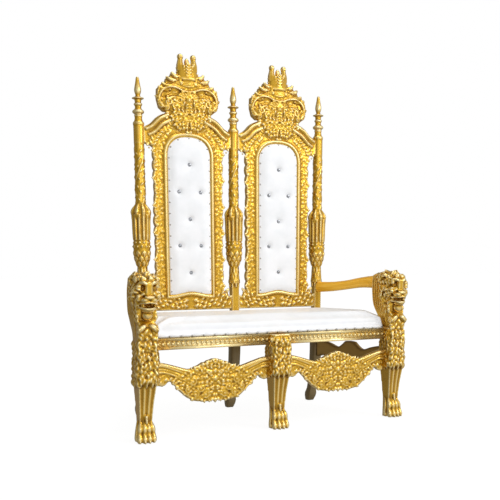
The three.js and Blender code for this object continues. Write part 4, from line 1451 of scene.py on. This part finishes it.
def moulding(section, start, end):
    """A rail: a closed section of (outwards, z), from one plan point to another, outwards to the right."""
    run = Vector((end[0] - start[0], end[1] - start[1], 0))
    out = Vector((run.y, -run.x, 0)).normalized()
    shape = bmesh.new()
    corners = [shape.verts.new(Vector((*start, 0)) + out * o + Vector((0, 0, z))) for o, z in section]
    face = shape.faces.new(corners)
    pushed = bmesh.ops.extrude_face_region(shape, geom=[face])
    far_end = [v for v in pushed["geom"] if isinstance(v, bmesh.types.BMVert)]
    bmesh.ops.translate(shape, vec=run, verts=far_end)
    bmesh.ops.recalc_face_normals(shape, faces=shape.faces)
    long_edges = [e for e in shape.edges if abs(e.calc_length() - run.length) < SEAM]
    eased(shape, long_edges, RAIL_EDGE)
    return shape


def rail_section(depth, proud):
    """A rail's section, `depth` thick behind its face, with a band `proud` of it along each edge."""
    low, top = RAIL_BOTTOM, SEAT_RAIL_TOP
    return [(-depth, low), (proud, low), (proud + 1, low + 4), (proud, low + 9), (proud - 3, low + 14),
            (0, low + 16), (0, top - 17), (proud - 3, top - 14), (proud, top - 9), (proud + 1, top - 4),
            (proud - 1, top), (-depth, top)]


def bead_row(start, end, y):
    """A row of beads, each with a few dozen faces, evenly spaced from x = start to x = end."""
    count = int((end - start) / BEAD_PITCH)
    row = bmesh.new()
    for i in range(count):
        place = Matrix.Translation((start + (end - start) * (i + 0.5) / count, y, BEAD_Z))
        bmesh.ops.create_icosphere(row, subdivisions=2, radius=BEAD_RADIUS, matrix=place)
    return row


def front_rail():
    start, end, face_y = POST_CLEAR, FRONT_POST_X - POST_CLEAR, 4
    bar = moulding(rail_section(36, 7), (start, face_y), (end, face_y))
    return together(bar, bead_row(start, end, face_y - 1))


def side_rail():
    return moulding(rail_section(38, 6), (FRONT_POST_X + SIDE_OUT, SIDE_RUN[0]),
                    (BACK_POST_X + SIDE_OUT, SIDE_RUN[1]))


def back_rail():
    section = [(-16, RAIL_BOTTOM), (20, RAIL_BOTTOM), (20, SEAT_RAIL_TOP), (-16, SEAT_RAIL_TOP)]
    return moulding(section, (BACK_POST_X - 27.3, BACK_Y), (27.3, BACK_Y))


show_pair("beaded_front_rail", front_rail(), BRIGHT_GOLD, "front_rail")
show_pair("moulded_side_rail", side_rail(), BRIGHT_GOLD, "side_rail")
show_pair("plain_back_rail", back_rail(), SHADED_DULL_GOLD, "back_rail")

# %% [markdown]
# The side aprons are plainer fretted boards, set slantwise because the seat narrows towards the back. Two
# shells round a flower, two pairs of leaves and two bands to each end are enough, since they stand in the
# shade of the seat.

# %% Side aprons
SIDE_APRON_FACE, SIDE_APRON_REAR = -11, 12
SIDE_APRON_INSET = 19  # its middle plane lies this far inside the side rail's face


def side_x(y):
    """How far across the outer face of a side rail is, at a depth."""
    return float(np.interp(y, SIDE_RUN, (FRONT_POST_X + SIDE_OUT, BACK_POST_X + SIDE_OUT)))


def side_apron_carving():
    half_face = leaf((12, 262), -12, 90, 40, 4, 0.1) + leaf((12, 272), 22, 66, 34, 4, 0.1)
    half_face.append(flowing([(206, 328, 0, 4), (150, 318, 0, 5), (104, 296, 0, 4), (80, 270, 0, 3)]))
    half_face.append(flowing([(206, 306, 0, 4), (156, 300, 0, 5), (118, 276, 0, 4), (96, 250, 0, 3)]))
    middle = moved(shell(64, 54, 7), 0, 272, 1) + moved(turned(shell(60, 50, 5, 50), 180), 0, 250)
    return front_of(both(half_face) + middle + moved(rosette(15), 0, 262, 2), SIDE_APRON_FACE)


def side_apron():
    half = (SIDE_RUN[1] - SIDE_RUN[0]) / 2
    lower = [(0, 182), (24, 183), (64, 194), (100, 222), (128, 250), (166, 268), (190, 262), (half, 256)]
    upper = [(half, 346), (170, 340), (128, 330), (96, 318), (72, 316), (50, 328), (26, 350)]
    outline = both_halves(smooth_curve(lower, 3) + smooth_curve(upper, 3) + [(0, 352)])
    plank = board([outline], (SIDE_APRON_FACE, SIDE_APRON_REAR), 3)
    shape = melted(together(plank, tubes(side_apron_carving(), 1)), COARSE_VOXEL)

    def slanted(p):
        y = np.interp(p.x, (-half, half), SIDE_RUN)
        return Vector((side_x(y) - SIDE_APRON_INSET - p.y, y, p.z))
    reshaped(shape, slanted)
    bmesh.ops.recalc_face_normals(shape, faces=shape.faces)
    return shape


show_pair("carved_side_apron", side_apron(), SHADED_DULL_GOLD, "side_apron")

# %% [markdown]
# A back leg is a plain sabre: a chamfered square that sweeps backwards to a small foot. A cube cut into
# levels takes the sweep.

# %% Back legs
LEG_LEVELS = ((0, 18), (10, 21), (26, 25), (44, 26), (66, 21), (110, 21), (160, 23), (250, 26), (350, 27),
              (SEAT_RAIL_TOP, 27))  # z, half width
SWEEP, SWEEP_TOP = 70, 320          # the foot stands this far behind the post, below this height


def back_leg():
    """A leg 2 wide, eased along its corners, drawn in to its width and swept back at each level."""
    leg = bmesh.new()
    middle = SEAT_RAIL_TOP / 2
    place = Matrix.Translation((0, 0, middle)) @ Matrix.Diagonal((1, 1, middle, 1))
    bmesh.ops.create_cube(leg, size=2.0, matrix=place)
    eased(leg, [e for e in leg.edges if abs(e.verts[0].co.z - e.verts[1].co.z) > 1], 0.36)
    sliced(leg, range(6, SEAT_RAIL_TOP, 9))
    heights, halves = zip(*LEG_LEVELS)

    def swept(p):
        half = np.interp(p.z, heights, halves)
        back = SWEEP * (1 - min(p.z / SWEEP_TOP, 1)) ** 1.7
        return Vector((p.x * half, BACK_Y + back + p.y * half, p.z))
    reshaped(leg, swept)
    bmesh.ops.recalc_face_normals(leg, faces=leg.faces)
    return leg


leg_shape = back_leg()
for side_name, side in PLACES:
    placed = leg_shape.copy()
    bmesh.ops.translate(placed, vec=(side * BACK_POST_X, 0, 0), verts=placed.verts)
    show(f"sabre_back_leg_{side_name}", placed, BRONZE_AND_SHADE, [f"back_leg_{side_name}"])
leg_shape.free()

# %% [markdown]
# An arm is one smooth piece of wood that leaves the lion's neck and dips to the back post. It is a fat
# stroke, wide at both ends and thinner between, a little deeper below its middle than above it, with a soft
# ridge along its top. Both ends are sawn off square where they meet the posts.

# %% Arms
ARM_FRONT, ARM_BACK = ARM_SOCKET_Y + 0.3, 479.5
ARM_DEEPER = 1.16  # how much deeper the lower half of its section is than the upper


def arm():
    spine = flowing([(FRONT_POST_X, 100, 668, 31), (622, 160, 668, 28), (598, 228, 662, 24),
                     (566, 312, 648, 22), (530, 392, 638, 23), (BACK_POST_X + 6, 484, 634, 26)], 6)

    def deepened(p):
        middle = float(np.interp(p.y, spine[:, 1], spine[:, 2]))
        return Vector((p.x, p.y, middle + (p.z - middle) * (ARM_DEEPER if p.z < middle else 1.0)))
    wood = reshaped(tubes([spine], 5), deepened)
    behind = spine[4:]
    ridge = np.column_stack([behind[:, :2], behind[:, 2] + behind[:, 3] - 2, np.full(len(behind), 5.0)])
    shape = melted(together(wood, tubes([ridge], 1)), VOXEL)
    sawn(shape, (0, ARM_FRONT, 0), (0, -1, 0), discard=True)
    sawn(shape, (0, ARM_BACK, 0), (0, 1, 0), discard=True)
    return capped(shape)


show_pair("carved_arm", arm(), LIT_ORANGE_GOLD, "arm")

# %% [markdown]
# White vinyl is a smooth coated cloth with a fine pebbled grain, about 1 mm across on the real thing and
# drawn here at 2 mm so that it shows. It shines softly, a little more in some places than in others. Light
# that sinks into it comes out again close by and fills its shadows, which a very faint glow stands for.

# %% White vinyl
VINYL_GLOW = 0.02


def white_vinyl():
    material, tree, shader, where = new_finish("white_vinyl")
    clouds = noise(tree, where, 60, 2.0)
    tree.links.new(ramp(tree, clouds, [(0.3, "#f0f2f5"), (0.7, "#f8f9fc")]), shader.inputs["Base Color"])
    gloss_between(tree, shader, 0.34, 0.46, clouds)
    pebbles = add_node(tree, "ShaderNodeTexVoronoi", {"Scale": 1 / (2 * MM)}, {"Vector": where})
    grain = add_node(tree, "ShaderNodeBump", {"Strength": 0.12, "Distance": 0.2 * MM},
                     {"Height": pebbles.outputs["Distance"]})
    tree.links.new(grain.outputs[0], shader.inputs["Normal"])
    shader.inputs["Emission Color"].default_value = linear("#ffffff")
    shader.inputs["Emission Strength"].default_value = VINYL_GLOW
    return material


VINYL = white_vinyl()
print("upholstery:", VINYL.name)

# %% [markdown]
# A pad is stuffed by simulation. Its cut shape is remeshed into an even net, the rim and the places where
# buttons pull it down are pinned, and a little air pressure swells the rest, as the foam behind the cloth
# does. No point may move further than a cap. One subdivision then smooths the net.

# %% Stuffing a pad
CLOTH_FRAMES, CLOTH_QUALITY, CLOTH_MASS = 20, 5, 0.3


def blown_up(pad, pinned, pressure):
    """Where a pad's points are once air pressure has swollen it."""
    held = pad.vertex_groups.new(name="held")
    for vert in pad.data.vertices:
        held.add([vert.index], pinned(vert.co / MM), "REPLACE")
    settings = pad.modifiers.new("cloth", "CLOTH").settings
    settings.quality = CLOTH_QUALITY
    settings.mass = CLOTH_MASS
    settings.use_pressure = True
    settings.uniform_pressure_force = pressure
    settings.vertex_group_mass = "held"
    settings.effector_weights.gravity = 0
    for frame_number in range(1, CLOTH_FRAMES + 1):
        bpy.context.scene.frame_set(frame_number)
    swollen = bpy.data.meshes.new_from_object(pad.evaluated_get(bpy.context.evaluated_depsgraph_get()))
    bpy.context.scene.frame_set(1)
    points = np.array([v.co for v in swollen.vertices])
    bpy.data.meshes.remove(swollen)
    return points


def stuffed(shape, voxel, pinned, pressure, cap):
    """Swells a pad drawn in millimetres; `pinned` says how firmly a point is held, 0 to 1."""
    net = melted(shape, voxel, 1)
    mesh = bpy.data.meshes.new("pad")
    net.to_mesh(mesh)
    net.free()
    mesh.transform(Matrix.Diagonal((MM, MM, MM, 1)))
    pad = bpy.data.objects.new("pad", mesh)
    bpy.context.scene.collection.objects.link(pad)
    points = np.array([v.co for v in mesh.vertices])
    step = blown_up(pad, pinned, pressure) - points
    far = np.linalg.norm(step, axis=1, keepdims=True)
    points = points + step * np.minimum(1, cap * MM / np.maximum(far, 1e-9))
    print("pad moved at most", round(float(min(far.max() / MM, cap)), 1), "mm")
    result = bmesh.new()
    result.from_mesh(mesh)
    for vert, point in zip(result.verts, points):
        vert.co = Vector(point) / MM
    bpy.data.objects.remove(pad)
    bpy.data.meshes.remove(mesh)
    bmesh.ops.subdivide_edges(result, edges=result.edges, cuts=1, use_grid_fill=True, smooth=1.0)
    return sanded(result, 2)


print("cloth runs for", CLOTH_FRAMES, "frames")

# %% [markdown]
# A back panel fills its arched opening. It is crowned by about a centimetre of foam, nailed round the rim,
# and pulled in by seven buttons: one, two, one, two, one. Each button sits in a steep dimple inside a
# wider, softer one.

# %% Back panels
PANEL_FACE, PANEL_REAR = 480, 512
PANEL_GAP = 1.0    # a panel is cut this much smaller than its opening, all round
PANEL_CROWN = 12   # how far its middle is crowned forwards
CROWN_REACH = 46   # the crown is full this far from the rim
BUTTON_ROWS = ((1264, (0,)), (1125, (-56, 56)), (987, (0,)), (853, (-56, 56)), (716, (0,)))
BUTTONS = [(x, z) for z, places in BUTTON_ROWS for x in places]


def rim_distance(x, z):
    """How far a point of the panel is from its rim, in millimetres."""
    inside = OPENING_HALF - abs(x)
    if z > OPENING_SPRING:
        rise = OPENING_TOP - OPENING_SPRING
        reach = math.hypot(x / OPENING_HALF, (z - OPENING_SPRING) / rise)
        inside = (1 - reach) * min(OPENING_HALF, rise)
    return max(min(inside, z - OPENING_FOOT), 0)


def button_distance(x, z):
    return min(math.hypot(x - bx, z - bz) for bx, bz in BUTTONS)


def panel():
    cut = board([opening(-PANEL_GAP)], (PANEL_FACE, PANEL_REAR), 4)

    def held(p):
        nailed = p.y > PANEL_FACE + 10 or rim_distance(p.x, p.z) < 12
        return 1.0 if nailed or button_distance(p.x, p.z) < 9 else 0.0

    def crowned(p):
        if p.y > PANEL_FACE + 8:
            return p
        edge = min(rim_distance(p.x, p.z) / CROWN_REACH, 1)
        near = button_distance(p.x, p.z)
        dimple = 8 * math.exp(-(near / 15) ** 2) + 3 * math.exp(-(near / 40) ** 2)
        forwards = PANEL_CROWN * math.sin(edge * math.pi / 2)
        return Vector((p.x, p.y - forwards + dimple * min(edge * 1.6, 1), p.z))
    return reshaped(stuffed(cut, voxel=5.0, pinned=held, pressure=5.0, cap=16), crowned)


panel_shape = panel()
for side_name, side in SIDES:
    pad = show(f"back_panel_{side_name}", leaned_to(panel_shape.copy(), side * BAY_X), VINYL,
               [f"back_pad_{side_name}"], relief=False)
panel_shape.free()

# %% [markdown]
# The seat is one long squab, boxed at the edges and crowned on top. It wraps down over the rail to a row
# of nails, which pull the vinyl tight in small puckers. Its plan narrows at the back with the side rails
# and steps in round the front posts.

# %% Seat
SEAT_FOOT, SEAT_TOP, SEAT_BACK = 440.4, 504, 474
SEAT_HIGHEST, SEAT_CROWN = 527, 8     # no point stands higher; the middle is crowned by this
NAIL_Z, SEAT_NAILS = 447, 23          # the row of nails along the front
NAIL_FIRST = -(FRONT_POST_X - POST_CLEAR - 14)
NAIL_PITCH = -2 * NAIL_FIRST / (SEAT_NAILS - 1)
PUCKER = 1.6                          # how far the vinyl is pulled in at each nail


def squab():
    """The squab's cut shape: a plan stepped in round the front posts, with round corners and a round rim."""
    front_half, behind = FRONT_POST_X - POST_CLEAR - 2, SIDE_RUN[0] + 32
    plan = both_halves([(front_half, 0), (front_half, behind), (side_x(behind) - 4, behind),
                        (side_x(SEAT_BACK) - 4, SEAT_BACK)])
    cut = plan_board(plan, (SEAT_FOOT, SEAT_TOP))
    upright = [e for e in cut.edges if abs(e.verts[0].co.z - e.verts[1].co.z) > 40]
    eased(cut, [e for e in upright if min(v.co.y for v in e.verts) < 1], 12, 4)
    sharp = [e for e in cut.edges if e.is_manifold and e.calc_face_angle(0) > 0.5]
    eased(cut, [e for e in sharp if min(v.co.z for v in e.verts) > SEAT_TOP - 4], 18, 5)
    return cut


def seat():
    def held(p):
        return 1.0 if p.z < 456 else 0.0

    def crowned(p):
        if p.z < 470:
            near_nails = math.exp(-((p.z - NAIL_Z) / 17) ** 2) * math.exp(-(p.y / 20) ** 2)
            wave = math.cos(2 * math.pi * (p.x - NAIL_FIRST) / NAIL_PITCH)
            return Vector((p.x, p.y + PUCKER * near_nails * wave, p.z))
        side = min((side_x(p.y) - abs(p.x)) / 160, 1)
        deep = min(min(p.y, SEAT_BACK - p.y) / 150, 1)
        share = math.sin(max(side, 0) * math.pi / 2) * math.sin(max(deep, 0) * math.pi / 2)
        return Vector((p.x, p.y, min(p.z + SEAT_CROWN * share, SEAT_HIGHEST)))
    return reshaped(stuffed(squab(), voxel=8.0, pinned=held, pressure=4.0, cap=18), crowned)


seat_pad = show("seat_squab", seat(), VINYL, ["seat_pad"], relief=False)

# %% [markdown]
# Crystal buttons are faceted acrylic with a foil back, so they flash grey and white like a mirror. Both
# they and the nails are small and many, so each has only a few dozen faces.

# %% Crystal buttons
def bright_fitting(name, colour, roughness, metallic):
    """A bright finish whose roughness varies a little from speck to speck."""
    material, tree, shader, where = new_finish(name)
    shader.inputs["Base Color"].default_value = linear(colour)
    shader.inputs["Metallic"].default_value = metallic
    gloss_between(tree, shader, roughness, roughness + 0.1, noise(tree, where, 2, 2.0))
    return material


FOILED_CRYSTAL = bright_fitting("foil_backed_acrylic", "#9a9ca0", 0.08, 0.8)
CRYSTAL = [(0, 0), (10, 0), (10.5, 2.5), (6.5, 7.5), (0, 8.5)]  # half sections: radius, height
NAIL = [(0, 0), (5, 0), (4.2, 1.8), (2.2, 3.1), (0, 3.5)]


def fitting(profile, sides, place):
    """A small turned thing that faces forwards at a place."""
    shape = turned_block(profile, steps=sides)
    bmesh.ops.transform(shape, matrix=Matrix.Translation(place) @ STAND, verts=shape.verts)
    return shape


for side_name, side in SIDES:
    for number, (x, z) in enumerate(BUTTONS, 1):
        crystal = leaned_to(fitting(CRYSTAL, 10, (x * side, PANEL_FACE - 0.5, z)), side * BAY_X)
        show(f"crystal_{number}_{side_name}", crystal, FOILED_CRYSTAL,
             [f"button_{number}_{side_name}"], relief=False, smooth=False)

# %% [markdown]
# Nails are nickel-plated domes. They run round each panel at an even spacing, and in one straight row
# along the foot of the seat. A row is one piece.

# %% Nails
NICKEL = bright_fitting("nickel_plated_nail", "#b4b2ae", 0.22, 1.0)
PANEL_NAIL_INSET, PANEL_NAIL_PITCH = 6.5, 56


def nail_row(places):
    return together(*[fitting(NAIL, 8, place) for place in places])


def panel_nails():
    """Nails spaced evenly round a panel's rim."""
    rim = opening(-PANEL_NAIL_INSET)
    points = np.array(rim + rim[:1])
    run = np.concatenate([[0], np.cumsum(np.linalg.norm(np.diff(points, axis=0), axis=1))])
    stops = np.linspace(0, run[-1], round(run[-1] / PANEL_NAIL_PITCH) + 1)[:-1]
    return nail_row([(np.interp(d, run, points[:, 0]), PANEL_FACE - 1, np.interp(d, run, points[:, 1]))
                     for d in stops])


for side_name, side in SIDES:
    row = leaned_to(panel_nails(), side * BAY_X)
    show(f"panel_nails_{side_name}", row, NICKEL, (), relief=False)
seat_row = nail_row([(NAIL_FIRST + NAIL_PITCH * i, -0.5, NAIL_Z) for i in range(SEAT_NAILS)])
show("seat_nails", seat_row, NICKEL, (), relief=False)

# %% [markdown]
# The throne stands on a plain pale floor against white. The floor is there for the eye alone: it throws
# no light back, so the undersides of the carving stay deep.

# %% Floor
scene = bpy.context.scene
scene.view_settings.view_transform = "Standard"
FLOOR_SIZE, FLOOR_GLOW = 30.0, 0.93


def pale_floor():
    shape = bmesh.new()
    bmesh.ops.create_grid(shape, x_segments=1, y_segments=1, size=FLOOR_SIZE)
    mesh = bpy.data.meshes.new("floor")
    shape.to_mesh(mesh)
    shape.free()
    floor = bpy.data.objects.new("floor", mesh)
    scene.collection.objects.link(floor)
    material, _, shader, _ = new_finish("white_paper")
    shader.inputs["Base Color"].default_value = linear("#6c6c6c")
    shader.inputs["Roughness"].default_value = 0.9
    shader.inputs["Specular IOR Level"].default_value = 0.0
    shader.inputs["Emission Color"].default_value = linear("#ffffff")
    shader.inputs["Emission Strength"].default_value = FLOOR_GLOW
    mesh.materials.append(material)
    floor.visible_diffuse = floor.visible_glossy = False
    return floor


print("floor:", pale_floor().name)

# %% [markdown]
# Most of the light comes from the surroundings: white in front, a little to the right, and greyer behind,
# with a darker band between, because polished gold needs something dark to mirror beside the light. The
# camera sees plain white instead. Three soft lamps make the glints on the lacquer.

# %% Light
FRONT_LIGHT = Vector((0.5, -0.8, 0.35)).normalized()
SKY = [(0.1, "#9a978f"), (0.3, "#b8b6b0"), (0.42, "#7c7972"), (0.53, "#b4b2ae"), (0.68, "#e6e6e4"),
       (0.9, "#ffffff")]
SKY_STRENGTH = 0.88


def soft_lamp(name, place, aim, size, watts):
    light = bpy.data.lights.new(name, "AREA")
    light.shape = "RECTANGLE"
    light.size, light.size_y = size
    light.energy = watts
    lamp = bpy.data.objects.new(name, light)
    scene.collection.objects.link(lamp)
    lamp.location = place
    lamp.rotation_euler = (Vector(aim) - Vector(place)).to_track_quat("-Z", "Y").to_euler()


def surroundings():
    """A world whose light depends on the direction that it comes from."""
    world = bpy.data.worlds.new("studio")
    scene.world = world
    world.use_nodes = True
    tree = world.node_tree
    tree.nodes.clear()
    direction = add_node(tree, "ShaderNodeTexCoord").outputs["Generated"]
    facing = add_node(tree, "ShaderNodeVectorMath", {1: FRONT_LIGHT}, {0: direction}, operation="DOT_PRODUCT")
    share = add_node(tree, "ShaderNodeMapRange", {"From Min": -1.0, "From Max": 1.0},
                     {"Value": facing.outputs["Value"]})
    colour = ramp(tree, share.outputs[0], SKY)
    lit = add_node(tree, "ShaderNodeBackground", {"Strength": SKY_STRENGTH}, {"Color": colour})
    white = add_node(tree, "ShaderNodeBackground", {"Color": linear("#ffffff"), "Strength": 1.0})
    seen = add_node(tree, "ShaderNodeLightPath").outputs["Is Camera Ray"]
    mixed = add_node(tree, "ShaderNodeMixShader", links={0: seen, 1: lit.outputs[0], 2: white.outputs[0]})
    add_node(tree, "ShaderNodeOutputWorld", links={"Surface": mixed.outputs[0]})


soft_lamp("key", (2.6, -3.4, 3.0), (0, 0, 0.9), (1.8, 1.8), 48)
soft_lamp("fill", (-0.4, -4.5, 1.6), (0, 0, 0.8), (2.4, 1.4), 16)
soft_lamp("top", (0.3, -0.6, 4.2), (0, 0, 0.6), (2.5, 1.4), 26)
surroundings()
print("lamps:", [light.name for light in bpy.data.lights])

# %% [markdown]
# The camera stands to the left of the throne, a hand's width above its arms, and looks level. Its lens is
# a normal one, shifted up a little so that the posts stay upright and the crowns stay in the picture.

# %% Camera
camera_data = bpy.data.cameras.new("camera")
camera_data.lens = 53.064
camera_data.sensor_width = 36
camera_data.shift_y = 0.024
camera = bpy.data.objects.new("camera", camera_data)
scene.collection.objects.link(camera)
camera.location = (-1.558, -3.034 + SHIFT * MM, 0.770)
camera.rotation_euler = (math.radians(90), 0, math.radians(-25))
scene.camera = camera
print("lens:", round(camera_data.lens, 1), "mm")

# %% [markdown]
# Before the script ends, the view layer is brought up to date.

# %% Update
bpy.context.view_layer.update()
